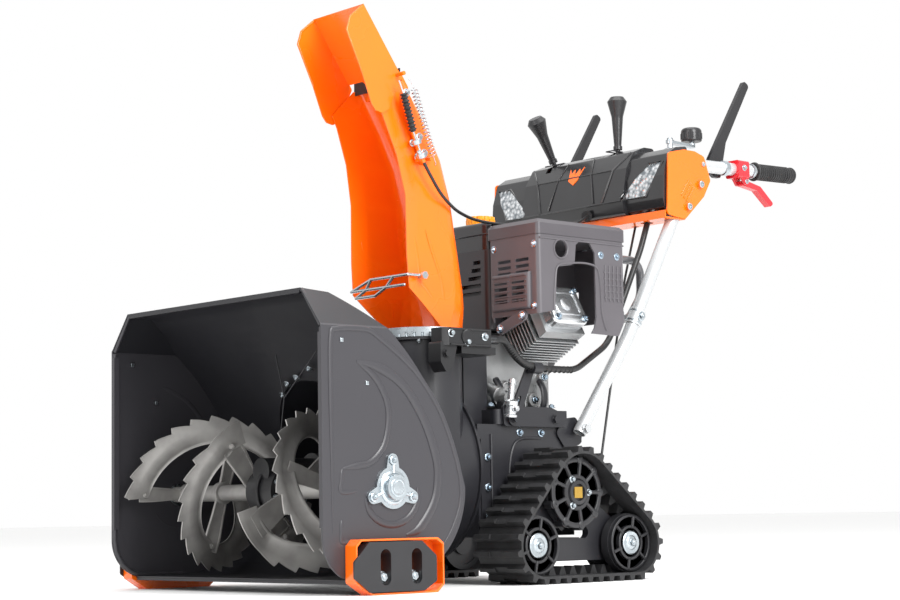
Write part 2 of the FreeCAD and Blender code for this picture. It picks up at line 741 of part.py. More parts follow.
def idler(y):
    """Twin guide wheel on its axle."""
    wheels = []
    for side in (-1, 1):
        near = track_mid + side * wheel_gap
        far = track_mid + side * (wheel_gap + wheel_width)
        wheel = rod((near, y, idler_z), (far, y, idler_z), idler_r)
        dish = rod((far, y, idler_z), (far - side * 6, y, idler_z), idler_r - 11)
        dish = dish.cut(rod((far, y, idler_z), (far - side * 6, y, idler_z), 26.0))
        wheels.append(wheel.cut(dish))
    far = track_mid + wheel_gap + wheel_width
    wheels.append(rod((disc_in, y, idler_z), (disc_out, y, idler_z), idler_axle_r))
    wheels.append(rod((far, y, idler_z), (far + 3, y, idler_z), 24.0))
    wheels.append(hex_head((far + 3, y, idler_z), (1, 0, 0), 15.0, 6.0))
    return join(wheels)


save_pair("idler_front", idler(idler_front_y))
save_pair("idler_rear", idler(idler_rear_y))

sprocket_parts = []
for side in (-1, 1):
    near = track_mid + side * wheel_gap
    far = near + side * 8
    disc = rod((near, axle_y, axle_z), (far, axle_y, axle_z), sprocket_r - 6)
    for k in range(7):
        opening = prism("x", ((31.0, -5.0), (54.0, -17.0), (58.0, 0.0), (54.0, 17.0), (31.0, 5.0)),
                        (min(near, far) - 1, max(near, far) + 1), 3.0)
        opening.rotate(V(0, 0, 0), V(1, 0, 0), 360.0 * k / 7)
        opening.translate(V(0, axle_y, axle_z))
        disc = disc.cut(opening)
    sprocket_parts.append(disc)
    for k in range(peg_count):
        angle = 2 * math.pi * k / peg_count
        peg_y = axle_y + (sprocket_r - peg_r) * math.cos(angle)
        peg_z = axle_z + (sprocket_r - peg_r) * math.sin(angle)
        sprocket_parts.append(rod((near, peg_y, peg_z), (near + side * 22, peg_y, peg_z), peg_r))
sprocket_parts.append(rod((disc_out, axle_y, axle_z), (disc_out + 16, axle_y, axle_z), 27.0))
sprocket_parts.append(rod((disc_in - 16, axle_y, axle_z), (disc_in, axle_y, axle_z), 27.0))
sprocket = join(sprocket_parts).cut(rod((0, axle_y, axle_z), (400, axle_y, axle_z), axle_r))
save_pair("sprocket", sprocket)
axle_end = disc_out + 16
axle_nut = box((axle_end, axle_end + 12), (axle_y - 11, axle_y + 11), (axle_z - 11, axle_z + 11))
axle = join([rod((-axle_end, axle_y, axle_z), (axle_end, axle_y, axle_z), axle_r), axle_nut,
    mirrored(axle_nut)])
save("drive_axle", axle)

frame_plate = round_loop("x", (
    (idler_front_y, idler_z, 33.0), (idler_rear_y, idler_z, 33.0), (axle_y, axle_z, 30.0)),
    (track_mid - frame_half, track_mid + frame_half))
window = round_loop("x", ((640.0, 100.0, 12.0), (730.0, 98.0, 12.0), (684.0, 128.0, 8.0)),
                    (track_mid - 50, track_mid + 50))
frame_arm = box((case_half, track_mid), (636.0, 724.0), (62.0, 88.0))
frame_leg = box((case_half - 24, case_half), (636.0, 724.0), (62.0, case_bottom))
frame = join([frame_plate.cut(window), frame_arm, frame_leg])
for spot_y, spot_z, r in ((idler_front_y, idler_z, idler_axle_r), (idler_rear_y, idler_z, idler_axle_r),
                          (axle_y, axle_z, axle_r)):
    frame = frame.cut(rod((track_mid - 30, spot_y, spot_z), (track_mid + 30, spot_y, spot_z),
        r + running_fit))
save("track_frames", group([frame, mirrored(frame)]))

# ---------------------------------------------------------------- engine
crankcase = box((-112, 104), (606, 790), (cover_top, 510))
crankcase = crankcase.makeFillet(18.0, [e for e in crankcase.Edges if e.BoundBox.YLength > 100])
front_boss = rod((0, 596, crank_z), (0, 606, crank_z), 62.0)
parts = [crankcase, front_boss]
for bx, bz in ((-70, 385), (70, 385), (-70, 490), (72, 488)):
    parts.append(rod((bx, 597, bz), (bx, 610, bz), 11.0))
for bx in (-70.0, -24.0, 24.0, 70.0):
    parts.append(box((bx - 3, bx + 3), (600, 607), (356, 420)))
engine_block = join(parts).cut(rod((0, 590, crank_z), (0, 640, crank_z), crank_r + running_fit))
save("engine_crankcase", engine_block)


def tilted(shape):
    """Swing a shape drawn along +X at crank height up to the cylinder angle."""
    shape.rotate(V(0, 0, crank_z), V(0, 1, 0), -cylinder_tilt)
    return shape


barrel_start = 118.0
fin_start = 132.0
half_bore = 42.0
cylinder_parts = [box((barrel_start, 214), (cylinder_y - half_bore, cylinder_y + half_bore),
    (crank_z - 40, crank_z + 40))]
for k in range(fin_count):
    x = fin_start + fin_pitch * k
    cylinder_parts.append(box((x, x + fin_thick), (cylinder_y - 62, cylinder_y + 62),
        (crank_z - 56, crank_z + 56)))
cylinder_parts.append(box((214, 236), (cylinder_y - 56, cylinder_y + 56), (crank_z - 52, crank_z + 52)))
cylinder = tilted(join(cylinder_parts))
keep_out = box((-200, 104), (500, 900), (300, 560))
cylinder = cylinder.cut(keep_out)
save("engine_cylinder", cylinder)

rocker = box((236, 266), (cylinder_y - 50, cylinder_y + 50), (crank_z - 44, crank_z + 44))
rocker = rocker.makeFillet(14.0,
    [e for e in rocker.Edges if e.BoundBox.XMin > 230 and e.BoundBox.XLength > 20])
rocker = rocker.makeFillet(9.0, [e for e in rocker.Edges if e.BoundBox.XMin > 265])
save("valve_cover", tilted(rocker))

# cover box: open below, louvres in front, cut-out towards the cylinder head
cover_box = box(cover_x, cover_y, (480, lid_bottom))
cover_box = cover_box.makeFillet(10.0, [e for e in cover_box.Edges if e.BoundBox.ZLength > 100])
cover_core = box((cover_x[0] + cover_wall, cover_x[1] - cover_wall),
    (cover_y[0] + cover_wall, cover_y[1] - cover_wall),
                 (470, lid_bottom - cover_wall))
cover = cover_box.cut(cover_core)
below_front = prism("y", ((120.0, 470.0), (120.0, 700.0), (137.0, 700.0), (137.0, 537.0),
    (158.0, 494.0), (178.0, 494.0),
                          (276.0, 530.0), (290.0, 530.0), (290.0, 470.0)), (595.0, 612.0))
below_side = prism("x", ((590.0, 470.0), (590.0, 530.0), (645.0, 540.0), (652.0, 628.0), (694.0, 634.0),
    (703.0, 642.0),
                         (707.0, 676.0), (722.0, 687.0), (746.0, 684.0), (761.0, 664.0), (762.0,
                             530.0), (757.0, 510.0),
                         (748.0, 498.0), (827.0, 496.0), (846.0, 528.0), (860.0, 528.0), (860.0, 470.0)),
                   (cover_x[0] + 14, 290.0))
below_inner = box((120.0, cover_x[0] + 14), (612.0, 860.0), (470.0, 600.0))
cover = cover.cut(below_front).cut(below_side).cut(below_inner)
cover = cover.cut(rod((cover_x[1] - 20, 664, 665), (cover_x[1] + 5, 664, 665), 17.0))
cover = cover.cut(box((cover_x[1] - 20, cover_x[1] + 5), (843, 860), (548, 564)))
slots = []
for column in (0, 1):
    for row in range(5):
        x0 = 158.0 + 52.0 * column
        z0 = 640.0 - 12.5 * row
        slots.append(box((x0, x0 + 38), (595, 612), (z0, z0 + 6.5)))
pad_face = box((146.0, 254.0), (592.0, 600.0), (543.0, 618.0))
pad_face = pad_face.makeFillet(7.0,
    [e for e in pad_face.Edges if e.BoundBox.YMin < 593 and e.BoundBox.YLength < 1])
for column in (0, 1):
    for row in range(4):
        x0 = 156.0 + 50.0 * column
        z0 = 596.0 - 12.5 * row
        slots.append(box((x0, x0 + 36), (580, 612), (z0, z0 + 6.5)))
tab = round_loop("y", ((168.0, 508.0, 11.0), (232.0, 530.0, 11.0)), (594.0, 600.0))
cover = join([cover, pad_face, tab.common(box((100, 300), (590, 600), (480, 560)))]).cut(join(slots))
ribs = []
for row in range(5):
    z0 = 572.0 + 13.0 * row
    ribs.append(box((cover_x[1], cover_x[1] + 1.5), (786, 842), (z0, z0 + 3)))
cover = join([cover] + ribs)
save("engine_cover", cover)

engine_lid = box((cover_x[0] - 2, cover_x[1] + 2), (cover_y[0] - 2, cover_y[1] + 2), (lid_bottom, lid_top))
engine_lid = engine_lid.makeChamfer(9.0, [e for e in engine_lid.Edges if e.BoundBox.ZMin > lid_top - 1])
engine_lid = engine_lid.makeFillet(9.0,
    [e for e in engine_lid.Edges if e.BoundBox.ZLength > 10 and e.BoundBox.XLength < 1 and e.BoundBox.YLength < 1])
save("engine_lid", engine_lid)

# blower housing behind the cover, with the starter drum at the rear
blower = box((-150, 126), (606, 800), (512, 677))
blower = blower.makeFillet(16.0, [e for e in blower.Edges if e.BoundBox.ZLength > 100])
blower_slots = []
for row, (x0, x1) in enumerate(((78, 100), (72, 100), (62, 100), (36, 100), (14, 100))):
    z0 = 648.0 - 16.0 * row
    blower_slots.append(box((x0, x1), (600, 618), (z0, z0 + 8)))
starter = rod((0, 800, 500), (0, 842, 500), 92.0)
starter = starter.makeFillet(10.0, [e for e in starter.Edges if e.BoundBox.YMin > 841])
head_room = box((100.0, 130.0), (640.0, 795.0), (500.0, 575.0))
save("blower_housing", join([blower, starter]).cut(join(blower_slots)).cut(head_room))

tank = box(tank_x, tank_y, tank_z)
tank = tank.makeFillet(22.0, [e for e in tank.Edges if e.BoundBox.ZLength > 30])
tank = tank.makeFillet(8.0, [e for e in tank.Edges if e.BoundBox.ZMin > tank_z[1] - 1])
filler = rod((cap_x, cap_y, tank_z[1]), (cap_x, cap_y, tank_z[1] + 8), 24.0)
save("fuel_tank", join([tank, filler]))
cap_low = tank_z[1] + part_gap
cap = rod((cap_x, cap_y, cap_low), (cap_x, cap_y, cap_low + 20), cap_r)
for k in range(12):
    angle = 2 * math.pi * k / 12
    cap = cap.cut(rod((cap_x + (cap_r + 2) * math.cos(angle), cap_y + (cap_r + 2) * math.sin(angle),
        cap_low + 6),
                      (cap_x + (cap_r + 2) * math.cos(angle), cap_y + (cap_r + 2) * math.sin(angle),
                          cap_low + 30), 4.5))
save("fuel_cap", cap.cut(rod((cap_x, cap_y, cap_low - 1), (cap_x, cap_y, cap_low + 8), 24.0 + running_fit)))

# ---------------------------------------------------------------- chute
def chute_section(z, front, back, half, corner, flare):
    """Closed outline of the channel at one height, its two front strips folded outwards."""
    t = chute_sheet
    steps = (0.0, 22.5, 45.0, 67.5, 90.0)
    fold = min(front + chute_fold, back - corner - 2.0)

    def arc(r):
        return [(half - corner + r * math.cos(math.radians(a)),
            back - corner + r * math.sin(math.radians(a)))
                for a in steps]

    inner = arc(corner - t)
    outer = arc(corner)
    outline = [(-half - flare, front), (-half, fold)] + [(-u, v) for u, v in outer] + outer[::-1]
    outline += [(half, fold), (half + flare, front), (half + flare - t, front), (half - t, fold)]
    outline += inner + [(-u, v) for u, v in inner[::-1]]
    outline += [(-half + t, fold), (-half - flare + t, front)]
    corners = [V(neck_x + u, v, z) for u, v in outline]
    return Part.makePolygon(corners + corners[:1])


chute_parts = []
for low, high in zip(chute_sections[:-1], chute_sections[1:]):
    chute_parts.append(Part.makeLoft([chute_section(*low), chute_section(*high)], True, True))
chute = join(chute_parts)
top_outline = (
    (180.0, 1010.0), (180.0, 905.0), (262.0, 905.0), (268.0, 918.0), (332.0, 984.0), (420.0,
        984.0), (420.0, 1010.0))
top_cut = prism("x", top_outline, (0, 200))
chute = chute.cut(top_cut)
pin_half = 62.0
chute_knuckles = []
for x0, x1 in ((neck_x - pin_half, neck_x - 34), (neck_x + 34, neck_x + pin_half)):
    chute_knuckles.append(rod((x0, hinge_y, hinge_z), (x1, hinge_y, hinge_z), hinge_r + 3))
    chute_knuckles.append(prism("x", ((344.0, 994.0), (350.0, 996.0), (364.0, 976.0), (364.0, 966.0),
        (358.0, 966.0)), (x0, x1)))
hinge_pin = rod((neck_x - pin_half, hinge_y, hinge_z), (neck_x + pin_half, hinge_y, hinge_z), hinge_r)
bracket = prism("x", bracket_outline, (bracket_x, bracket_x + sheet), 5.0)
bracket_feet = []
for spot in bracket_feet_at:
    bracket_feet.append(rod((neck_x + 70, spot[0], spot[1]), (bracket_x, spot[0], spot[1]), 6.0))
bracket_feet.append(rod((bracket_x, spring_pin[0], spring_pin[1]), (bracket_x + 22, spring_pin[0],
    spring_pin[1]), 4.0))
cable_start = V(*deflector_cable_points[0])
cable_next = V(*deflector_cable_points[1])
ferrule_top = cable_start + (cable_start - cable_next).normalize() * ferrule_length
bracket_feet.append(Part.makeCylinder(5.0, ferrule_length, ferrule_top, cable_start - ferrule_top))
bracket_feet.append(box((bracket_x, cable_start.x), (362.0, 373.0), (824.0, 836.0)))
chute = join([chute, hinge_pin, bracket] + chute_knuckles + bracket_feet)
save("chute_shell", chute)

ring = rod((neck_x, neck_y, ring_bottom), (neck_x, neck_y, ring_top), ring_radius)
teeth = []
for k in range(36):
    angle = 2 * math.pi * k / 36
    spot = (neck_x + ring_radius * math.cos(angle), neck_y + ring_radius * math.sin(angle))
    teeth.append(rod((spot[0], spot[1], ring_bottom - 1), (spot[0], spot[1], ring_bottom + 8), 2.6))
ring = ring.cut(join(teeth)).cut(rod((neck_x, neck_y, ring_bottom - 1), (neck_x, neck_y, ring_top + 1),
    neck_radius - sheet))
save("chute_ring", ring)

# wire guard across the front of the channel
guard_y = chute_sections[3][1] - guard_r
guard_lines = (
    ((neck_x + 84.0, guard_high), (79.0, guard_high)), ((79.0, guard_high), (neck_x - 82.0, guard_mid)),
    ((neck_x + 80.0, guard_mid), (neck_x - 82.0, guard_mid)), ((neck_x - 8.0, guard_low),
        (neck_x - 68.0, guard_low)),
    ((148.0, guard_high), (126.0, guard_mid)), ((126.0, guard_mid), (neck_x - 8.0, guard_low)),
    ((79.0, guard_high), (64.0, guard_mid)), ((64.0, guard_mid), (neck_x - 68.0, guard_low)),
)
guard_parts = []
for (x0, z0), (x1, z1) in guard_lines:
    guard_parts.append(rod((x0, guard_y, z0), (x1, guard_y, z1), guard_r))
    guard_parts.append(Part.makeSphere(guard_r, V(x1, guard_y, z1)))
    guard_parts.append(Part.makeSphere(guard_r, V(x0, guard_y, z0)))
guard_side = neck_x + 90.0
guard_back = guard_y + 38.0
guard_parts.append(rod((guard_side, guard_y, guard_high), (guard_side, guard_back, guard_high), guard_r))
guard_parts.append(rod((guard_side - 6, guard_y, guard_high), (guard_side, guard_y, guard_high), guard_r))
guard_parts.append(Part.makeSphere(guard_r, V(guard_side, guard_y, guard_high)))
guard_parts.append(rod((guard_side - 13, guard_back, guard_high),
    (guard_side + 2, guard_back, guard_high), 5.0))
guard_parts.append(hex_head((guard_side + 2, guard_back, guard_high), (1, 0, 0), 14.0, 7.0))
save("chute_guard", join(guard_parts).cut(chute))

# deflector hood
hood_in = chute_sections[-2][3] + deflector_gap
hood_out = hood_in + chute_sheet
hood_side = prism("x", deflector_side, (neck_x + hood_in, neck_x + hood_out), 6.0)
other_side = prism("x", deflector_side, (neck_x - hood_out, neck_x - hood_in), 6.0)
hood_top = lift("x", deflector_side[0], neck_x - hood_out)
lean = (lift("x", deflector_side[-1], neck_x - hood_out) - hood_top).normalize()
skin = V(0, lean.z, -lean.y) * chute_sheet
hood_low = hood_top + lean * 150.0
back = Part.Face(wire([hood_top, hood_low, hood_low + skin, hood_top + skin])).extrude(V(2 * hood_out,
    0, 0))
knuckle = rod((neck_x - 33, hinge_y, hinge_z), (neck_x + 33, hinge_y, hinge_z), hinge_r + 3)
strap = prism("x", ((344.0, 988.5), (344.0, 999.5), (326.0, 1003.0), (323.0, 999.0)),
    (neck_x - 33, neck_x + 33))
ear = rod((neck_x + hood_in, 322.0, 992.0), (neck_x + hood_out + 22, 322.0, 992.0), 4.0)
deflector = join([hood_side, other_side, back, knuckle, strap, ear])
deflector = deflector.cut(rod((neck_x - 70, hinge_y, hinge_z), (neck_x + 70, hinge_y, hinge_z),
    hinge_r + running_fit))
save("deflector", deflector)

# chute gearbox beside the ring
gear_body = prism("z", ((193.0, 388.0), (200.0, 380.0), (230.0, 380.0), (238.0, 392.0), (238.0, 505.0),
    (206.0, 505.0),
                        (193.0, 470.0)), (462.0, 497.0), 3.0)
gear_lobe = prism("x", ((376.0, 470.0), (376.0, 430.0), (390.0, 410.0), (408.0, 420.0), (420.0, 470.0)),
    (196.0, 232.0), 5.0)
gear_foot = box((150.0, 232.0), (430.0, 520.0), (448.0, 462.0))
gear_foot = gear_foot.cut(rod((neck_x, neck_y, 440), (neck_x, neck_y, 470), neck_radius))
connector = rod((214.0, 505.0, 480.0), (214.0, 541.0, 480.0), 9.0)
gear_bolts = [bolt((238.0, 398.0, 486.0), (1, 0, 0), 7.0), bolt((232.0, 390.0, 446.0), (1, 0, 0), 8.0)]
save("chute_gearbox", join([gear_body, gear_lobe, gear_foot, connector] + gear_bolts))

# ---------------------------------------------------------------- handles
grip_dir = (V(*handle_points[4]) - V(*handle_points[3])).normalize()
grip_end = V(*handle_points[4])
tube_end = grip_end - grip_dir * 4.0
tube_points = handle_points[:4] + ((tube_end.x, tube_end.y, tube_end.z),)
handle = tube(tube_points, tube_r, list(handle_bends), tube_wall)
joint = V(*handle_points[1])
lower_dir = (V(*handle_points[2]) - joint).normalize()
sleeve_low = joint + lower_dir * 30.0
sleeve = Part.makeCylinder(tube_r + 3, 34.0, sleeve_low, lower_dir).cut(
    Part.makeCylinder(tube_r - 0.5, 34.0, sleeve_low, lower_dir))
foot_bolt = bolt((handle_points[0][0] + tube_r - 1, 796.0, 309.0), (1, 0, 0), 10.0)
lever_y = 1181.0
lever_z = 888.0
lever_pin = rod((224.0, lever_y, lever_z), (250.0, lever_y, lever_z), 5.0)
handle = join([handle, sleeve, foot_bolt])
handle = join([handle, lever_pin])
save("handles", group([handle, mirrored(handle)]))

grip_start = grip_end - grip_dir * grip_length
grip = Part.makeCylinder(grip_r, grip_length, grip_start, grip_dir)
for k in range(14):
    groove_at = grip_start + grip_dir * (9.0 + 8.0 * k)
    groove = Part.makeCylinder(grip_r + 1, 2.0, groove_at, grip_dir).cut(
        Part.makeCylinder(grip_r - 1, 2.0, groove_at, grip_dir))
    grip = grip.cut(groove)
grip = grip.cut(Part.makeCylinder(tube_r, grip_length - 4.0, grip_start, grip_dir))
save("grips", group([grip, mirrored(grip)]))

# trigger clamps and triggers under the grips
clamp_y = (1226.0, 1262.0)
clamp_x = 257.0
clamp = box((clamp_x - 19, clamp_x + 19), clamp_y, (867.0, 906.0))
clamp = clamp.makeFillet(5.0, [e for e in clamp.Edges if e.BoundBox.YLength > 30])
trigger_y = 1256.0
trigger_z = 860.0
clamp_parts = [clamp]
for x0 in (clamp_x - 15, clamp_x + 9):
    clamp_parts.append(round_loop("x", ((trigger_y - 12, 872.0, 5.0), (trigger_y, trigger_z, 7.0),
        (trigger_y + 1, 874.0, 5.0)), (x0, x0 + 6)))
clamp_parts.append(rod((clamp_x - 15, trigger_y, trigger_z), (clamp_x + 15, trigger_y, trigger_z), 3.0))
bend_start = V(*handle_points[3])
clamp = join(clamp_parts).cut(Part.makeCylinder(tube_r, 400.0, bend_start, grip_dir))
save("trigger_clamps", group([clamp, mirrored(clamp)]))
trigger_outline = (
    (1250.0, 863.5), (1250.0, 852.0), (1300.0, 845.0), (1344.0, 812.0), (1356.0, 820.0), (1312.0,
        855.0), (1270.0, 863.0))
trigger = prism("x", trigger_outline, (clamp_x - 8, clamp_x + 8), 4.0)
trigger = trigger.cut(rod((clamp_x - 20, trigger_y, trigger_z), (clamp_x + 20, trigger_y, trigger_z),
    3.0 + running_fit))
save_pair("trigger", trigger)

paddle = prism("x", ((1166.0, 884.0), (1190.0, 868.0), (1210.0, 868.0), (1232.0, 950.0),
    (1319.0, 1090.0), (1302.0, 1100.0),
                     (1206.0, 956.0), (1170.0, 902.0)), (227.0, 236.0), 7.0)
paddle = paddle.cut(rod((200.0, lever_y, lever_z), (254.0, lever_y, lever_z), 5.0 + running_fit))
save_pair("clutch_lever", paddle)

# ---------------------------------------------------------------- panel
side = prism("x", panel_side, (panel_half - sheet, panel_half), 9.0)
tray = prism("x", ((988.0, 757.0), (1050.0, 757.0), (1112.0, 811.0), (1112.0, 816.0), (1048.0, 760.0),
    (991.0, 760.0),
                   (991.0, 774.0), (988.0, 774.0)), (-panel_half + sheet, panel_half - sheet))
crank_x = 205.0
crank_y = 1075.0
deck = box((-panel_half + sheet, panel_half - sheet), (1068.0, 1112.0), (902.0, 905.0))
deck_boss = rod((crank_x, crank_y + 6, 896.0), (crank_x, crank_y + 6, 922.0), 12.0)
side_bolts = [bolt((panel_half, 1098.0, 838.0), (1, 0, 0), 8.0), bolt((panel_half, 1057.0, 786.0),
    (1, 0, 0), 8.0)]
sides = [side, mirrored(side)] + side_bolts + [mirrored(b) for b in side_bolts]
frame_body = join(sides + [tray, deck, deck_boss])
frame_body = frame_body.cut(rod((crank_x, crank_y + 6, 880.0), (crank_x, crank_y + 6, 940.0),
    6.0 + running_fit))
tube_room = tube(tube_points, tube_r + 2, list(handle_bends))
cable_room = join([rod((184.0, 994.0, 689.0), (196.0, 1060.0, 880.0), 14.0),
    rod((135.0, 1000.0, 640.0), (135.0, 1061.0, 828.0), 8.0)])
frame_body = frame_body.cut(tube_room).cut(mirrored(tube_room)).cut(cable_room)


def hollow(profile, half, wall, open_from, corner):
    """Moulded cover: an extruded outline with an even wall, open behind."""
    outer = prism("x", profile, (-half, half), corner)
    inner_face = Part.Face(wire([lift("x", p, -half + wall) for p in profile], corner)).makeOffset2D(-wall)
    inner = inner_face.extrude(V(2 * (half - wall), 0, 0))
    deep = box((-half + wall, half - wall), (open_from, open_from + 60), (784.0, 890.0))
    return outer, inner.fuse(deep)


wing_outer, wing_inner = hollow(fascia_profile, panel_half - sheet - 2, 3.0, 1040.0, 6.0)
block_outer, block_inner = hollow(console_profile, console_half, 3.0, 1060.0, 8.0)
fascia_outer = join([wing_outer, block_outer])
fascia_inner = wing_inner.fuse(block_inner)
lamp_outline = ((140.0, 808.0), (218.0, 808.0), (256.0, 882.0), (216.0, 882.0))
lamp_cut = prism("y", lamp_outline, (960.0, 1040.0), 6.0)
lamp_body = prism("y", lamp_outline, (960.0, 1016.0), 6.0)
fascia = fascia_outer.cut(fascia_inner).cut(lamp_cut).cut(mirrored(lamp_cut))
lever_slot = box((72.0, 88.0), (1018.0, 1078.0), (880.0, 940.0))
other_slot = box((-108.0, -92.0), (1006.0, 1078.0), (880.0, 940.0))
fascia = fascia.cut(lever_slot).cut(other_slot)
fascia = fascia.cut(tube_room).cut(mirrored(tube_room)).cut(cable_room)
fascia = fascia.cut(rod((60.0, 960.0, 781.0), (20.0, 1046.0, 812.0), 9.0))
fascia = fascia.cut(box((-300, 300), (980, 1112), (700, 776.0)))
fascia = fascia.cut(box((-300, 300), (1066.0, 1112), (700, 908)))
save("panel_fascia", fascia)
lamp = lamp_body.common(wing_outer).cut(wing_inner)
save("headlights", group([lamp, mirrored(lamp)]))

# levers on the panel
lever_pivot = (1047.0, 893.0)


def knob_lever(x, pivot, tip):
    """Hand lever: steel stem with a flared moulded knob."""
    foot = V(x, pivot[0], pivot[1])
    head = V(x, tip[0], tip[1])
    along = (head - foot).normalize()
    length = (head - foot).Length
    stem = Part.makeCylinder(5.0, length - 30, foot, along)
    collar = Part.makeCylinder(10.0, 8.0, foot + along * 44, along)
    lower = Part.makeCone(8.0, 13.0, length - 96, foot + along * 52, along)
    upper = Part.makeCone(13.0, 22.0, 34.0, foot + along * (length - 44), along)
    crown = Part.makeCone(22.0, 15.0, 10.0, foot + along * (length - 10), along)
    eye = rod((x - 6, pivot[0], pivot[1]), (x + 6, pivot[0], pivot[1]), 9.0)
    lever = join([stem, collar, lower, upper, crown, eye])
    return lever.cut(rod((x - 20, pivot[0], pivot[1]), (x + 20, pivot[0], pivot[1]), 4.0 + running_fit))


for x in (80.0, -100.0):
    frame_body = frame_body.fuse(rod((x - 14, lever_pivot[0], lever_pivot[1]),
        (x + 14, lever_pivot[0], lever_pivot[1]), 4.0))
    for side_x in (x - 14, x + 9):
        frame_body = frame_body.fuse(box((side_x, side_x + 5), (1038.0, 1070.0), (884.0, 903.0)))
save("panel_frame", frame_body.removeSplitter())
save("speed_lever", knob_lever(80.0, lever_pivot, (1049.0, 1056.0)))
save("deflector_lever", knob_lever(-100.0, lever_pivot, (968.0, 1028.0)))

crank_shaft_top = rod((crank_x, crank_y + 6, 886.0), (crank_x, crank_y + 6, 944.0), 6.0)
arm_bar = round_loop("z", ((crank_x, crank_y + 6, 9.0), (200.0, 1158.0, 8.0)), (936.0, 942.0))
save("chute_crank", join([crank_shaft_top, arm_bar, rod((200.0, 1158.0, 936.0), (200.0, 1158.0, 956.0),
    5.0)]))
knob = rod((200.0, 1158.0, 949.0), (200.0, 1158.0, 980.0), 23.0)
knob = knob.makeFillet(9.0, [e for e in knob.Edges if e.BoundBox.ZMin > 979])
knob = knob.makeFillet(4.0, [e for e in knob.Edges if e.BoundBox.ZMax < 950])
save("crank_knob", knob.cut(rod((200.0, 1158.0, 940.0), (200.0, 1158.0, 956.0), 5.0)))

# ---------------------------------------------------------------- cables and braces
conduit_r = 6.5
conduit_points = ((214.0, 541.0, 480.0), (214.0, 562.0, 480.0), (212.0, 606.0, 440.0),
    (204.0, 664.0, 429.0),
                  (204.0, 770.0, 429.0), (184.0, 890.0, 490.0), (184.0, 1000.0, 700.0), (190.0, 1030.0,
                      790.0))
conduit = tube(conduit_points, conduit_r, [32.0, 70.0, 150.0, 90.0, 90.0, 200.0])
arm_x = (case_half + sheet + 8, case_half + sheet + 13)
strut = round_loop("x", ((611.0, 328.0, 15.0), (657.0, 424.0, 11.0)), arm_x)
strut_slot = round_loop("x", ((622.0, 356.0, 3.5), (628.0, 370.0, 3.5)), (arm_x[0] - 1, arm_x[1] + 1))
clamp_ring = rod((204.0, 645.0, 429.0), (204.0, 669.0, 429.0), conduit_r + 5)
clamp_ear = box((arm_x[0], 204.0), (650.0, 664.0), (419.0, 436.0))
strut = join([strut.cut(strut_slot), clamp_ring, clamp_ear, bolt((arm_x[1], 611.0, 328.0), (1, 0, 0), 9.0)])
save("cable_arm", strut.cut(conduit))
brace_points = ((165.0, 850.0, 676.0), (165.0, 1016.0, 676.0), (165.0, 1016.0, 600.0),
    (165.0, 976.0, 548.0),
                (165.0, 850.0, 548.0))
brace = tube(brace_points, 9.0, [32.0, 50.0, 30.0])
save("brace_tube", brace)

cable_r = 2.6
clutch_points = ((135.0, 1052.0, 800.0), (135.0, 1000.0, 640.0), (150.0, 941.0, 449.0),
    (166.0, 866.0, 190.0))
clutch_cable = tube(clutch_points, cable_r, [300.0, 300.0])
cable_foot = box((150.0, 178.0), (case_rear, 872.0), (184.0, 190.0))
boot_top = V(164.0, 889.0, 404.0)
boot_low = V(164.0, 834.0, 321.0)
boot = Part.makeCylinder(9.0, (boot_top - boot_low).Length, boot_low, boot_top - boot_low)
hook = rod((164.0, 835.0, 322.0), (164.0, 812.0, 286.0), 2.5)
hook_foot = box((152.0, case_half), (case_rear, 818.0), (282.0, 288.0))
save("control_cables", group([conduit, join([clutch_cable, cable_foot]), join([boot, hook, hook_foot])]))

save("deflector_cable", tube(deflector_cable_points, 3.2, [50.0, 90.0, 200.0, 120.0, 150.0]))

# ---------------------------------------------------------------- skid shoes
shoe_outline = ((48.0, 86.0), (60.0, 98.0), (238.0, 98.0), (252.0, 88.0), (252.0, 14.0), (236.0, 0.0),
    (84.0, 0.0), (48.0, 22.0))
tray_full = prism("x", shoe_outline, (skid_base, skid_base + skid_reach), 5.0)
tray_room = Part.Face(wire([lift("x", p, skid_base + skid_lip) for p in shoe_outline],
    5.0)).makeOffset2D(-skid_lip)
shoe = tray_full.cut(tray_room.extrude(V(skid_reach, 0, 0)))
pad = prism("x", pad_outline, (skid_base + skid_lip, side_outer + 35.0), 5.0)
pad = pad.common(tray_room.extrude(V(60, 0, 0)).fuse(box((skid_base + skid_reach, 400), (0, 300),
    (0, 120))))
for spot in slot_y:
    wide = round_loop("x", ((spot, slot_z[0] + slot_half, slot_half),
        (spot, slot_z[1] - slot_half, slot_half)),
                      (skid_base + skid_lip - 1, 400.0))
    narrow = round_loop("x", ((spot, slot_z[0] + slot_half, 5.5), (spot, slot_z[1] - slot_half, 5.5)),
        (300.0, 400.0))
    pad = pad.cut(wide)
    shoe = shoe.cut(narrow)
save_pair("skid_shoe", shoe)
save_pair("skid_pad", pad)
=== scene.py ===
import math

import bpy
from mathutils import Matrix, Vector


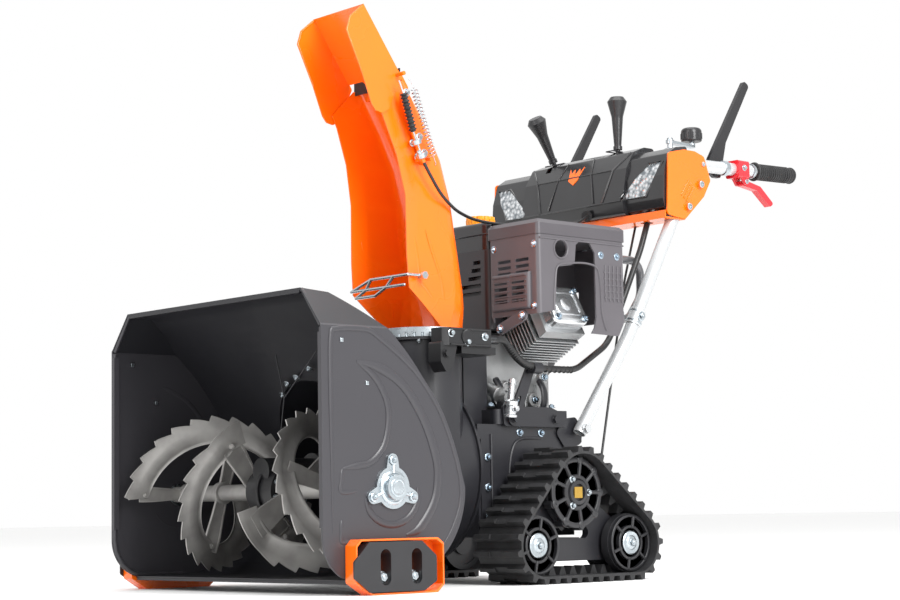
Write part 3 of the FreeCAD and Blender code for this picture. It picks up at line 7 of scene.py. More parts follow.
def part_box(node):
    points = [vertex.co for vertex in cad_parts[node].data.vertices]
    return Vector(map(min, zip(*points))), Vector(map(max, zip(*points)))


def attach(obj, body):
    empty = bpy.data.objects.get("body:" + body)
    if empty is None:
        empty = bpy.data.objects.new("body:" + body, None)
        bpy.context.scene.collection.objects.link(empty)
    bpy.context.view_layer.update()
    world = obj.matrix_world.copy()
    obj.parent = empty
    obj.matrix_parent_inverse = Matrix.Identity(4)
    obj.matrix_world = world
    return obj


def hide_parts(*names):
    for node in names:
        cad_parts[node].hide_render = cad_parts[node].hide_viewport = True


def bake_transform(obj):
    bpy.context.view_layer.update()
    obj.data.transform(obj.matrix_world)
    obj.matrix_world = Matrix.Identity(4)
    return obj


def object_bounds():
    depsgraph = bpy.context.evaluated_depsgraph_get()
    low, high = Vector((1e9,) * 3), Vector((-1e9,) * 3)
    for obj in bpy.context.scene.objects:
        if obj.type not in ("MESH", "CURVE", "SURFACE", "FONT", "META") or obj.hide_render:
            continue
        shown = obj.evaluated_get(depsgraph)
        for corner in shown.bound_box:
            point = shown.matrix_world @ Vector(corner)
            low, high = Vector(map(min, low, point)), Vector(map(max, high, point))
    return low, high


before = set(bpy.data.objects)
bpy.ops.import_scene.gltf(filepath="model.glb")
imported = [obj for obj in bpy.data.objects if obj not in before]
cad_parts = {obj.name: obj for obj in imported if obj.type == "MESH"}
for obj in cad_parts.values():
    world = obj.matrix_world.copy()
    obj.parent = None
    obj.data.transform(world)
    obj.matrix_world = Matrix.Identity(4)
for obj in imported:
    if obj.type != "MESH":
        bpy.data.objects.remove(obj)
cad_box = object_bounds()
mouth = cad_box[0].y

# ---------------------------------------------------------------- floor, light and camera
# A pale seamless paper floor in a white studio, with large soft lamps above and beside the
# machine. The camera stands low, in front of the machine's left corner, with a long lens.


def linear(code):
    """An sRGB hex colour as the linear RGBA that a shader socket takes."""
    parts = [int(code[i:i + 2], 16) / 255 for i in (1, 3, 5)]
    return [c / 12.92 if c <= 0.04045 else ((c + 0.055) / 1.055) ** 2.4 for c in parts] + [1.0]


def add_node(material, kind, inputs=None, **settings):
    """Adds one shader node, sets its properties, and fills or links its inputs."""
    shader = material.node_tree.nodes.new("ShaderNode" + kind)
    for key, value in settings.items():
        setattr(shader, key, value)
    for key, value in (inputs or {}).items():
        if isinstance(value, bpy.types.NodeSocket):
            material.node_tree.links.new(value, shader.inputs[key])
        else:
            shader.inputs[key].default_value = value
    return shader


def blank(name):
    """A new material with an empty node tree, and its place in metres."""
    material = bpy.data.materials.new(name)
    material.use_nodes = True
    material.node_tree.nodes.clear()
    return material, add_node(material, "TexCoord").outputs["Object"]


def finished(material, **surface):
    """Gives the material its one surface and returns it."""
    inputs = {key.replace("_", " "): value for key, value in surface.items()}
    shader = add_node(material, "BsdfPrincipled", inputs)
    add_node(material, "OutputMaterial", {"Surface": shader.outputs["BSDF"]})
    return material


def studio_paper():
    """Matt white paper with a faint fibre."""
    material, place = blank("studio_paper")
    fibre = add_node(material, "TexNoise", {"Vector": place, "Scale": 60.0, "Detail": 3.0})
    tint = add_node(material, "MixRGB", {"Fac": fibre.outputs["Fac"], "Color1": linear("#F3F3F2"),
                                         "Color2": linear("#FAFAFA")})
    return finished(material, Base_Color=tint.outputs["Color"], Roughness=0.8)


floor = bpy.data.meshes.new("studio_floor")
floor.from_pydata([(-30, -30, 0), (30, -30, 0), (30, 30, 0), (-30, 30, 0)], [], [(0, 1, 2, 3)])
floor.materials.append(studio_paper())
floor_object = bpy.data.objects.new("studio_floor", floor)
bpy.context.scene.collection.objects.link(floor_object)

world = bpy.data.worlds.new("white_studio")
bpy.context.scene.world = world
world.use_nodes = True
world.node_tree.nodes["Background"].inputs["Color"].default_value = (1, 1, 1, 1)
world.node_tree.nodes["Background"].inputs["Strength"].default_value = 1.0
bpy.context.scene.view_settings.view_transform = "Standard"

for name, place, aim, width, height, power in (
        ("right_lamp", (3.6, -0.6, 2.4), (0.1, 0.0, 0.6), 1.6, 2.4, 190),
        ("front_lamp", (0.6, -4.2, 2.2), (0.0, -0.2, 0.4), 2.4, 1.6, 45),
        ("top_lamp", (0.2, 0.2, 3.6), (0.0, 0.0, 0.5), 2.4, 2.4, 60)):
    lamp = bpy.data.lights.new(name, "AREA")
    lamp.shape = "RECTANGLE"
    lamp.size, lamp.size_y, lamp.energy = width, height, power
    lamp_object = bpy.data.objects.new(name, lamp)
    bpy.context.scene.collection.objects.link(lamp_object)
    lamp_object.location = place
    lamp_object.rotation_euler = (Vector(aim) - Vector(place)).to_track_quat("-Z", "Y").to_euler()

camera = bpy.data.cameras.new("camera")
camera.lens = 79.55
camera.sensor_width = 36.0
camera_object = bpy.data.objects.new("camera", camera)
bpy.context.scene.collection.objects.link(camera_object)
bpy.context.scene.camera = camera_object
yaw, pitch, roll = math.radians(48.1469), math.radians(6.0941), math.radians(-1.0243)
forward = Vector((-math.sin(yaw) * math.cos(pitch), math.cos(yaw) * math.cos(pitch), math.sin(pitch)))
level_right = Vector((math.cos(yaw), math.sin(yaw), 0.0))
right = math.cos(roll) * level_right + math.sin(roll) * level_right.cross(forward)
camera_object.matrix_world = Matrix.Translation((3.0781, mouth - 2.1474, 0.1422)) @ Matrix(
    (right, right.cross(forward), -forward)).transposed().to_4x4()

# ---------------------------------------------------------------- snow bucket
# The bucket is 3 mm sheet steel, welded and powder coated: near black inside and charcoal
# outside. Its mouth is stiffened by a rolled edge, and ribs are pressed into the side plates.


def at(x, y, z):
    """A place in millimetres, with y measured back from the mouth, in metres."""
    return Vector((x / 1000, mouth + y / 1000, z / 1000))


def slab(outline, low, high, axis="x"):
    """A flat outline pushed along an axis: outlines are (y, z) for x, (x, z) for y, (x, y) for z."""
    def lift(u, v, w):
        return {"x": at(w, u, v), "y": at(u, w, v), "z": at(u, v, w)}[axis]
    n = len(outline)
    verts = [lift(u, v, low) for u, v in outline] + [lift(u, v, high) for u, v in outline]
    faces = [tuple(range(n))[::-1], tuple(range(n, 2 * n))]
    faces += [(i, (i + 1) % n, n + (i + 1) % n, n + i) for i in range(n)]
    return verts, faces


def lathe(profile, base, axis, sides=28):
    """A (radius, height) profile in millimetres turned round an axis from a base point."""
    axis = Vector(axis).normalized()
    across = axis.orthogonal().normalized()
    other = axis.cross(across)
    verts, faces = [], []
    for r, h in profile:
        for k in range(sides):
            a = 2 * math.pi * k / sides
            out = across * math.cos(a) + other * math.sin(a)
            verts.append(Vector(base) + (axis * h + out * r) / 1000)
    for i in range(len(profile) - 1):
        for k in range(sides):
            j = (k + 1) % sides
            faces.append((i * sides + k, i * sides + j, (i + 1) * sides + j, (i + 1) * sides + k))
    faces.append(tuple(range(sides))[::-1])
    faces.append(tuple(range(len(verts) - sides, len(verts))))
    return verts, faces


def flowing(points, steps=6, closed=False):
    """More points on a smooth line through the given ones."""
    n = len(points)
    line = []
    for i in range(n if closed else n - 1):
        a, b, c, d = (points[(i + k) % n] if closed else points[min(max(i + k, 0), n - 1)]
                      for k in (-1, 0, 1, 2))
        for s in range(steps):
            t = s / steps
            line.append(0.5 * (2 * b + (c - a) * t + (2 * a - 5 * b + 4 * c - d) * t * t
                               + (3 * b - a - 3 * c + d) * t ** 3))
    return line if closed else line + [points[-1]]


def along(points, radius, sides=10, closed=False, flat=1.0, flat_axis=(1, 0, 0)):
    """A round bar or wire along a line; flat squeezes it along one axis. Radii are in millimetres."""
    n = len(points)
    radii = radius if isinstance(radius, (list, tuple)) else [radius] * n
    verts, faces = [], []
    squeeze = Vector(flat_axis)
    across = None
    for i, p in enumerate(points):
        ahead = points[(i + 1) % n] if closed or i < n - 1 else points[i]
        behind = points[i - 1] if closed or i else points[i]
        axis = (ahead - behind).normalized()
        across = axis.orthogonal() if across is None else across - axis * across.dot(axis)
        across.normalize()
        other = axis.cross(across)
        for k in range(sides):
            a = 2 * math.pi * k / sides
            out = (across * math.cos(a) + other * math.sin(a)) * radii[i] / 1000
            verts.append(p + out - squeeze * out.dot(squeeze) * (1 - flat))
    for i in range(n if closed else n - 1):
        for k in range(sides):
            j = (k + 1) % sides
            m = (i + 1) % n
            faces.append((i * sides + k, i * sides + j, m * sides + j, m * sides + k))
    if not closed:
        faces += [tuple(range(sides))[::-1], tuple(range((n - 1) * sides, n * sides))]
    return verts, faces


def hex_bolt(place, axis, across=13.0, height=6.0, washer=None, sides=6):
    """A bolt head or nut on a washer, with a chamfered crown and the end of its thread."""
    axis = Vector(axis).normalized()
    r = across / 2 / math.cos(math.pi / 6)
    rim = washer or across * 0.62
    lift = Vector(place) + axis * 0.0014
    return [
        lathe(((rim, 0.0), (rim, 1.1), (rim - 0.4, 1.4), (r * 0.5, 1.4)), place, axis, 24),
        lathe(((r, 0.0), (r, height - 1.2), (r * 0.86, height), (r * 0.4, height)), lift, axis, sides),
        lathe(((r * 0.48, height - 0.5), (r * 0.48, height + 1.4), (r * 0.4, height + 1.9)),
              lift, axis, 14),
    ]


def bolt_row(places, axis, *sizes):
    """The heads of several like bolts."""
    return [shape for place in places for shape in hex_bolt(place, axis, *sizes)]


def side_circle(centre, x, radius, step):
    """Points round a circle that faces the machine's side."""
    turns = (math.radians(v) for v in range(0, 360, step))
    return [at(x, centre[0] + radius * math.cos(a), centre[1] + radius * math.sin(a)) for a in turns]


def made(name, shapes, material, body, crease=38.0, bevel=0.0):
    """Joins shapes into one piece with a material slot, riding on a body unless that is None."""
    verts, faces = [], []
    for points, polygons in shapes:
        base = len(verts)
        verts += [tuple(p) for p in points]
        faces += [tuple(base + i for i in polygon) for polygon in polygons]
    mesh = bpy.data.meshes.new(name)
    mesh.from_pydata(verts, [], faces)
    mesh.validate()
    mesh.shade_smooth()
    mesh.set_sharp_from_angle(angle=math.radians(crease))
    mesh.materials.append(material)
    piece = bpy.data.objects.new(name, mesh)
    bpy.context.scene.collection.objects.link(piece)
    if bevel:
        edge = piece.modifiers.new("edge", "BEVEL")
        edge.width = bevel / 1000
        edge.segments = 2
        edge.limit_method = "ANGLE"
        edge.angle_limit = math.radians(crease)
        edge.harden_normals = True
    if body:
        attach(piece, body)
    return piece


def corner_weld():
    """The modifier tree that joins a CAD node's split corners so that its edges can be rounded."""
    tree = bpy.data.node_groups.new("corner_weld", "GeometryNodeTree")
    for way in ("INPUT", "OUTPUT"):
        tree.interface.new_socket("Geometry", in_out=way, socket_type="NodeSocketGeometry")
    steps = [tree.nodes.new(kind) for kind in (
        "NodeGroupInput", "GeometryNodeMergeByDistance", "GeometryNodeRemoveAttribute",
        "GeometryNodeSetShadeSmooth", "NodeGroupOutput")]
    steps[1].inputs["Distance"].default_value = 0.00002
    steps[2].inputs["Name"].default_value = "custom_normal"
    for a, b in zip(steps[:-1], steps[1:]):
        tree.links.new(a.outputs[0], b.inputs[0])
    return tree


weld_tree = corner_weld()


def dress(material, *names, edge=0.8):
    """Gives CAD nodes a finish, and rounds their sharp edges by a width in millimetres."""
    for name in names:
        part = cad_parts[name]
        part.data.materials.clear()
        part.data.materials.append(material)
        if edge:
            part.modifiers.new("weld", "NODES").node_group = weld_tree
            rounded = part.modifiers.new("edge", "BEVEL")
            rounded.width = edge / 1000
            rounded.segments = 2
            rounded.limit_method = "ANGLE"
            rounded.angle_limit = math.radians(32)
            rounded.harden_normals = True
            rounded.miter_outer = "MITER_ARC"


def mottled(material, place, patch_mm, colour, shade, detail):
    """Soft patches of two tones: the pattern itself, and the mixed colour."""
    patches = add_node(material, "TexNoise", {"Vector": place, "Scale": 1000 / patch_mm, "Detail": detail})
    tint = add_node(material, "MixRGB", {"Fac": patches.outputs["Fac"], "Color1": linear(colour),
                                         "Color2": linear(shade)})
    return patches.outputs["Fac"], tint.outputs["Color"]


def grained(material, place, grain_mm, strength, depth, **noise):
    """The surface normal of a fine grain, its depth in metres."""
    grain = add_node(material, "TexNoise", {"Vector": place, "Scale": 1000 / grain_mm, **noise})
    skin = add_node(material, "Bump", {"Height": grain.outputs["Fac"], "Strength": strength,
                                       "Distance": depth})
    return skin.outputs["Normal"]


def shine(material, pattern, low, high):
    """A roughness that follows a pattern between two values."""
    spread = add_node(material, "MapRange", {"Value": pattern, "From Min": 0.3, "From Max": 0.7,
                                             "To Min": low, "To Max": high})
    return spread.outputs["Result"]


def powder_coat(name, colour, shade, roughness=0.4, peel_mm=2.2, coat=0.0):
    """Baked powder paint: an orange-peel skin about 2 mm across, slightly uneven in tone."""
    material, place = blank(name)
    drift, tint = mottled(material, place, 140, colour, shade, 3.0)
    return finished(material, Base_Color=tint, Coat_Weight=coat, Coat_Roughness=0.12,
                    Roughness=shine(material, drift, roughness - 0.05, roughness + 0.06),
                    Normal=grained(material, place, peel_mm, 0.25, 0.0003))


def zinc_plate(name, colour, shade, roughness=0.3):
    """Bright zinc on steel: a cool metal with cloudy patches and the fine grit of tumbling."""
    material, place = blank(name)
    cloud, tint = mottled(material, place, 9, colour, shade, 4.0)
    return finished(material, Base_Color=tint, Metallic=1.0,
                    Roughness=shine(material, cloud, roughness - 0.07, roughness + 0.1),
                    Normal=grained(material, place, 0.9, 0.2, 0.0002))


black_coat = powder_coat("bucket_black_powder_coat", "#202024", "#1A1A1E", 0.42)
charcoal_coat = powder_coat("side_plate_charcoal_powder_coat", "#38373B", "#323135", 0.36)
bright_zinc = zinc_plate("bright_zinc", "#C9D0D4", "#A3ADB3", 0.3)

dress(black_coat, "bucket_shell", "scraper_bar", edge=0.7)
dress(charcoal_coat, "side_plate_left", "side_plate_right", edge=0.9)
dress(bright_zinc, "side_fittings", edge=0.8)

plate_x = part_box("side_plate_left")[1].x * 1000
floor_z, roof_z = (corner.z * 1000 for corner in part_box("bucket_shell"))
shoulder_z, shoulder_x = 474.0, 282.0
toe = 75.0
hem_r = 4.5
for side, hand in ((1, "left"), (-1, "right")):
    x = side * (plate_x - hem_r)
    foot = [at(x, toe - (toe - hem_r) * math.cos(a), floor_z + toe - (toe - hem_r) * math.sin(a))
            for a in (math.radians(v) for v in (80, 60, 40, 20, 0))]
    edge_line = [at(x, toe + 90, floor_z + hem_r)] + foot
    edge_line += [at(x, hem_r, z) for z in (200, 320, 440, shoulder_z - 4)]
    made("rolled_edge_" + hand, [along(edge_line, hem_r, 12)], charcoal_coat, "machine")

brow = [at(-plate_x + 6, 5, shoulder_z), at(-shoulder_x, 5, roof_z - 4), at(shoulder_x, 5, roof_z - 4),
        at(plate_x - 6, 5, shoulder_z)]
made("rolled_brow", [along(brow, 4.0, 12)], charcoal_coat, "machine")

# pressed ribs, as lines of (distance behind the mouth, height)
crescent = [(80, 412), (133, 402), (189, 371), (236, 310), (263, 245), (267, 201), (256, 158),
    (222, 115), (190, 103)]
inner_curve = [(80, 412), (119, 387), (146, 348), (152, 309), (140, 262), (111, 234), (79, 227), (45, 222)]
step_high = [(45, 222), (42, 200), (42, 181), (78, 183)]
step_low = [(42, 132), (41, 110), (42, 93), (63, 95)]
panel_edge = [(22, 110), (21, 250), (20, 380), (22, 455), (34, 468), (102, 470), (134, 456),
              (190, 420), (228, 388), (270, 336), (298, 282), (318, 227), (325, 188), (320, 150),
              (300, 110), (276, 80)]
seat = [(157 + 62 * math.cos(a), 178 + 56 * math.sin(a))
        for a in (math.radians(v) for v in range(-170, 20, 15))]
for side, hand in ((1, "left"), (-1, "right")):
    ribs = []
    for line, r, rise in ((crescent, 9.0, 0.42), (inner_curve, 6.5, 0.45), (step_high, 4.0, 0.4),
                          (step_low, 4.0, 0.4), (panel_edge, 5.0, 0.5), (seat, 6.5, 0.5)):
        points = flowing([at(side * plate_x, u, v) for u, v in line], 5)
        n = len(points)
        radii = [r * min(1.0, 0.25 + 6 * min(k, n - 1 - k) / n) for k in range(n)]
        ribs.append(along(points, radii, 12, flat=rise))
    made("pressed_ribs_" + hand, ribs, charcoal_coat, "machine")
    bolts = []
    for u, v in ((46, 449), (103, 374)):
        bolts.append(lathe(((5.0, -7.0), (5.0, 1.6), (3.4, 2.2)), at(side * plate_x, u, v),
            (side, 0, 0), 4))
        bolts.append(lathe(((5.0, 0.0), (5.0, 2.6), (3.0, 3.4)), at(side * (plate_x - 3), u, v),
            (-side, 0, 0), 4))
    made("plate_bolts_" + hand, bolts, bright_zinc, "machine", bevel=0.4)

# cast relief and nuts on the bearing flanges, round the ends of the auger shaft
bearing_y, bearing_z = 157.0, 188.0
for side, hand in ((1, "left"), (-1, "right")):
    face = plate_x + 5.0
    relief = [lathe(((31.0, 0.0), (31.0, 1.5), (29.0, 3.0), (26.0, 3.5), (25.0, 2.0)),
                    at(side * face, bearing_y, bearing_z), (side, 0, 0), 40),
              lathe(((17.0, 0.0), (17.0, 1.2), (15.0, 2.0), (12.0, 1.2), (11.0, 2.2), (3.0, 2.6)),
                    at(side * (plate_x + 18.0), bearing_y, bearing_z), (side, 0, 0), 32)]
    for angle in (90, 200, 340):
        a = math.radians(angle)
        relief += hex_bolt(at(side * (face + 2.0), bearing_y + 49 * math.cos(a),
            bearing_z + 49 * math.sin(a)),
                           (side, 0, 0), 10.0, 4.5, 8.5)
        spoke = [at(side * (face + 0.5), bearing_y + r * math.cos(a), bearing_z + r * math.sin(a))
                 for r in (26, 34, 41)]
        relief.append(along(spoke, [4.0, 3.4, 2.6], 8))
    made("bearing_relief_" + hand, relief, bright_zinc, "machine")

# bolts of the drum inside the roof, and the thin stay wires over the auger gearbox
inside = []
for x, y, z in ((-40, 214, 402), (0, 206, 412), (60, 190, 425), (-90, 240, 384), (100, 200, 416)):
    inside += hex_bolt(at(x, y, z - 3), (0, -0.6, -0.8), 9.0, 3.5, 8.0)
for x in (-110, 110):
    for z in (80, 120):
        inside += hex_bolt(at(x, 322, z), (0, -1, 0), 9.0, 3.5, 8.0)
made("drum_bolts", inside, bright_zinc, "machine")
fork = at(20, 160, 366)
made("stay_wires", [along([at(-4, 158, 452), fork], 1.3, 8), along([at(126, 158, 450), fork], 1.3, 8),
                    along([fork, at(10, 160, 310), at(8, 165, 250)], 1.3, 8)],
     black_coat, "machine")

# ---------------------------------------------------------------- auger
# Each side has two serrated flights, half a turn apart, pressed from 3 mm plate with a rolled
# inner lip and a raised outer band. Straps bolt them to the shaft, and all is silver paint.


def auger_paint():
    """Grey-silver stove paint, a little scuffed: darker rubbed patches 20 mm wide and fine streaks."""
    material, place = blank("auger_silver_paint")
    rub = add_node(material, "TexNoise", {"Vector": place, "Scale": 1000 / 60, "Detail": 3.0,
        "Roughness": 0.5})
    tone = add_node(material, "ValToRGB", {"Fac": rub.outputs["Fac"]})
    tone.color_ramp.elements[0].position = 0.32
    tone.color_ramp.elements[0].color = linear("#8A8886")
    tone.color_ramp.elements[1].position = 0.62
    tone.color_ramp.elements[1].color = linear("#A9A7A4")
    grain = add_node(material, "TexNoise", {"Vector": place, "Scale": 1000 / 1.6, "Detail": 2.0})
    skin = add_node(material, "Bump", {"Height": grain.outputs["Fac"], "Strength": 0.3, "Distance": 0.0003})
    gloss = add_node(material, "MapRange", {"Value": rub.outputs["Fac"], "To Min": 0.34, "To Max": 0.58})
    return finished(material, Base_Color=tone.outputs["Color"], Metallic=0.35,
        Roughness=gloss.outputs["Result"],
                    Normal=skin.outputs["Normal"])


silver_stove_paint = auger_paint()
dress(silver_stove_paint, "auger_shaft", edge=0.5)
dress(silver_stove_paint, "auger_flights_left", "auger_flights_right", edge=0)
tip_r, tooth, teeth = 155.0, 11.0, 15
sweep, plate_sweep, inner_x, outer_x = 220.0, 36.0, 60.0, 296.0
band = ((99.0, 0.0), (100.5, 2.2), (103.5, 3.0), (106.5, 2.2), (109.0, 0.2), (120.0, 0.0), (131.0, 0.0),
    (134.0, 1.8))


def flight(side, start):
    """One flight as a pressed sheet: a grid of turns by radii with two skins and closed edges."""
    stations = [(-plate_sweep * (1 - k / 6), tip_r - tooth) for k in range(6)]
    for k in range(teeth):
        for lead in (0.0, 0.2, 0.42, 0.64, 0.85):
            stations.append((sweep * (k + lead) / teeth, tip_r - tooth + tooth * lead / 0.85))
        stations.append((sweep * (k + 0.97) / teeth, tip_r - tooth))
    stations.append((sweep, tip_r - tooth))
    rows = []
    for turn, tip in stations:
        a = math.radians(start + turn)
        x = inner_x + (outer_x - inner_x) * max(turn, 0.0) / sweep
        ends = min(1.0, (turn + plate_sweep - 6) / 14, (sweep - 5 - turn) / 14)
        relief = max(0.0, ends)
        row = [(r, x + rise * relief) for r, rise in band] + [(tip, x + 1.8 * relief)]
        rows.append([at(side * px, bearing_y + r * math.cos(a), bearing_z + r * math.sin(a)) for r,
            px in row])
    count, across = len(rows), len(rows[0])
    thick = Vector((side * 0.0032, 0, 0))
    verts = [p for row in rows for p in row] + [p + thick for row in rows for p in row]
    half = count * across
    faces = []
    for i in range(count - 1):
        for j in range(across - 1):
            a, b, c, d = i * across + j, i * across + j + 1, (i + 1) * across + j + 1, (i + 1) * across + j
            faces += [(a, b, c, d), (half + d, half + c, half + b, half + a)]
        for j in (0, across - 1):
            a, d = i * across + j, (i + 1) * across + j
            faces.append((a, d, half + d, half + a) if j == 0 else (half + a, half + d, d, a))
    for i in (0, count - 1):
        for j in range(across - 1):
            a, b = i * across + j, i * across + j + 1
            faces.append((half + a, half + b, b, a) if i == 0 else (a, b, half + b, half + a))
    return verts, faces


def strap(side, x, angle, wide=17.0):
    """A pressed strap from the shaft collar to a flight, its long edges folded up, with its bolts."""
    a = math.radians(angle)
    out = Vector((0, math.cos(a), math.sin(a)))
    over = Vector((0, -math.sin(a), math.cos(a)))
    hub = at(side * x, bearing_y, bearing_z)
    profile = ((-1.0, 6.0), (-1.0, 0.0), (1.0, 0.0), (1.0, 6.0), (0.82, 6.0), (0.82, 2.6), (-0.82, 2.6),
        (-0.82, 6.0))
    verts = []
    for r, half in ((15.0, wide * 0.72), (45.0, wide * 0.8), (90.0, wide), (118.0, wide)):
        for u, rise in profile:
            lip = rise if r < 100 else min(rise, 2.6)
            verts.append(hub + (out * r + over * u * half) / 1000 + Vector((-side * (lip - 3) / 1000, 0,
                0)))
    n = len(profile)
    faces = [(k * n + i, k * n + (i + 1) % n, (k + 1) * n + (i + 1) % n, (k + 1) * n + i)
             for k in range(3) for i in range(n)]
    faces += [tuple(range(n))[::-1], tuple(range(3 * n, 4 * n))]
    shapes = [(verts, faces)]
    shapes += hex_bolt(hub + out * 0.108 + Vector((-side * 0.001, 0, 0)), (-side, 0, 0), 10.0, 5.0)
    return shapes


for side, hand, first in ((1, "left", 52.0), (-1, "right", -36.0)):
    shapes = []
    for start in (first, first + 180.0):
        shapes.append(flight(side, start))
        for part, turn, wide in ((0.0, -0.5 * plate_sweep, 24.0), (0.5, 0.5 * sweep, 17.0),
            (1.0, sweep - 4.0, 15.0)):
            shapes += strap(side, inner_x + (outer_x - inner_x) * part + 2, start + turn, wide)
    for x in (inner_x, (inner_x + outer_x) / 2, outer_x - 4):
        shapes.append(lathe(((16.2, 0.0), (21.0, 0.0), (22.0, 1.0), (22.0, 15.0), (21.0, 16.0),
            (16.2, 16.0)),
                            at(side * (x - 4), bearing_y, bearing_z), (side, 0, 0), 30))
    made("serrated_flights_" + hand, shapes, silver_stove_paint, "auger", crease=42)
    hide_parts("auger_flights_" + hand)

cast_black = powder_coat("gearbox_black_enamel", "#1B1B1D", "#131315", 0.38, 3.5)
dress(cast_black, "auger_gearbox", edge=1.5)
gear_bolts = []
for k in range(8):
    a = 2 * math.pi * k / 8 + 0.3
    for side in (1, -1):
        gear_bolts += hex_bolt(at(side * 40.0, bearing_y + 37 * math.cos(a), bearing_z + 37 * math.sin(a)),
                               (side, 0, 0), 8.0, 4.0)
flange_ring = lathe(((46.0, -4.0), (51.0, -4.0), (52.0, -3.0), (52.0, 3.0), (51.0, 4.0), (46.0, 4.0)),
                    at(0, bearing_y, bearing_z), (1, 0, 0), 40)
made("auger_gearbox_flange", [flange_ring], cast_black, "machine")
made("auger_gearbox_bolts", gear_bolts, bright_zinc, "machine")

# ---------------------------------------------------------------- impeller housing and impeller
# A rolled steel drum welded to the bucket, with a neck for the chute. The four-bladed impeller
# turns inside it on the long shaft.

satin_black = powder_coat("satin_black_powder_coat", "#26262A", "#1E1E22", 0.36)
impeller_black = powder_coat("impeller_black_paint", "#202024", "#3A3A3D", 0.45, 3.0)
dress(satin_black, "impeller_housing", edge=0.8)
dress(impeller_black, "impeller", edge=0.8)
turned_steel = zinc_plate("turned_pulley_steel", "#9A9C9E", "#7B7D80", 0.34)
dress(turned_steel, "crank_pulley", edge=0.5)
drum_y, drum_z, drum_r = 524.0, 226.0, 180.0
rim_bolts = []
for k in range(10):
    a = math.radians(18 + 36 * k)
    if math.sin(a) < 0.75:
        rim_bolts += hex_bolt(at((drum_r - 14) * math.cos(a), drum_y + 0.5,
            drum_z + (drum_r - 14) * math.sin(a)),
                              (0, 1, 0), 10.0, 5.0)
made("drum_rim_bolts", rim_bolts, bright_zinc, "machine")
weld_line = [at(drum_r * math.cos(a), 352, drum_z + drum_r * math.sin(a))
             for a in (math.radians(v) for v in range(-60, 72, 6))]
made("drum_weld", [along(weld_line, 2.6, 8)], satin_black, "machine")

# ---------------------------------------------------------------- transmission case and belt cover
# A folded steel case between the tracks, with a bolted lid, and a pressed cover over the belts.
# Satin black powder coat, with blue-white zinc bolts and a turned bearing flange on each side.

dress(satin_black, "gearcase", "gearcase_cover", "belt_cover", edge=1.0)
blue_zinc = zinc_plate("blue_white_zinc", "#C4D2DE", "#8FA3B3", 0.24)
lid_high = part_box("gearcase_cover")[1].z * 1000
case_bolts = []
for side in (1, -1):
    for y, z in ((548, 132), (548, 190), (548, 250), (640, 300), (700, 300)):
        case_bolts += hex_bolt(at(side * 173.0 if y < 600 else side * 170.0, y, z), (side, 0, 0), 10.0,
            5.0, 8.0)
for x, y in ((-140, 590), (140, 590), (-140, 762), (140, 762), (0, 764)):
    case_bolts += hex_bolt(at(x, y, lid_high - 0.5), (0, 0, 1), 10.0, 5.0, 8.0)
made("case_bolts", case_bolts, blue_zinc, "machine")
belt_spots = ((-118, 360), (118, 360), (-112, 452), (112, 452), (0, 474))
front_bolts = bolt_row([at(x, 587.5, z) for x, z in belt_spots], (0, 1, 0), 10.0, 5.0, 8.0)
made("belt_cover_bolts", front_bolts, blue_zinc, "machine")
folds = []
for side in (1, -1):
    folds.append(along([at(side * 170.5, 560, 120), at(side * 170.5, 560, 296)], 3.0, 8))
    folds.append(along(flowing([at(side * 170.5, y, z) for y, z in ((612, 150), (606, 200), (616, 262),
        (640, 286),
                                                                  (700, 290))], 5), 3.0, 8))
made("pressed_case_lines", folds, satin_black, "machine")


def cast_metal(name, colour, shade, roughness):
    """Sand-cast aluminium: a grainy skin of half-millimetre pits, cloudy and softly shining."""
    material, place = blank(name)
    tint = mottled(material, place, 30, colour, shade, 4.0)[1]
    return finished(material, Base_Color=tint, Metallic=0.9, Roughness=roughness,
                    Normal=grained(material, place, 1.4, 0.5, 0.0004, Detail=5.0, Roughness=0.7))


cast_aluminium = cast_metal("sand_cast_aluminium", "#B5B6B6", "#98999A", 0.42)
bright_casting = cast_metal("polished_die_casting", "#E4E6E8", "#C6C9CC", 0.22)
fitting = [lathe(((14, 0), (14, 4), (11, 6), (11, 22), (14, 24), (14, 32), (9, 36)), at(186, 600, 330),
    (0.1, 0, 1), 24),
           lathe(((7, 0), (7, 40), (9, 42), (9, 52), (6, 54)), at(186, 600, 356), (-0.2, 0.35, 1), 18)]
fitting += hex_bolt(at(200, 600, 346), (1, 0, 0), 12.0, 6.0)
made("filler_fitting", fitting, bright_casting, "machine")

# ---------------------------------------------------------------- tracks
# Moulded rubber belts with a cleat at each pitch, round two guide wheels and a toothed drive
# wheel on the axle. Black nylon wheels, zinc discs and hubs, and a yellow-zinc axle nut.


def moulded_rubber(name, colour, shade, depth, roughness=0.62):
    """Carbon-black rubber: a matt skin with fine mould grain, paler where it has been rubbed."""
    material, place = blank(name)
    worn = add_node(material, "TexNoise", {"Vector": place, "Scale": 1000 / 32, "Detail": 6.0,
        "Roughness": 0.6})
    tone = add_node(material, "ValToRGB", {"Fac": worn.outputs["Fac"]})
    tone.color_ramp.elements[0].position, tone.color_ramp.elements[1].position = 0.35, 0.72
    tone.color_ramp.elements[0].color, tone.color_ramp.elements[1].color = linear(colour), linear(shade)
    grain = add_node(material, "TexNoise", {"Vector": place, "Scale": 1000 / 0.8, "Detail": 3.0})
    lumps = add_node(material, "TexNoise", {"Vector": place, "Scale": 1000 / 6})
    height = add_node(material, "Math", {0: grain.outputs["Fac"], 1: lumps.outputs["Fac"]}, operation="ADD")
    skin = add_node(material, "Bump", {"Height": height.outputs["Value"], "Strength": 0.45,
        "Distance": depth})
    return finished(material, Base_Color=tone.outputs["Color"], Roughness=roughness,
        Normal=skin.outputs["Normal"])


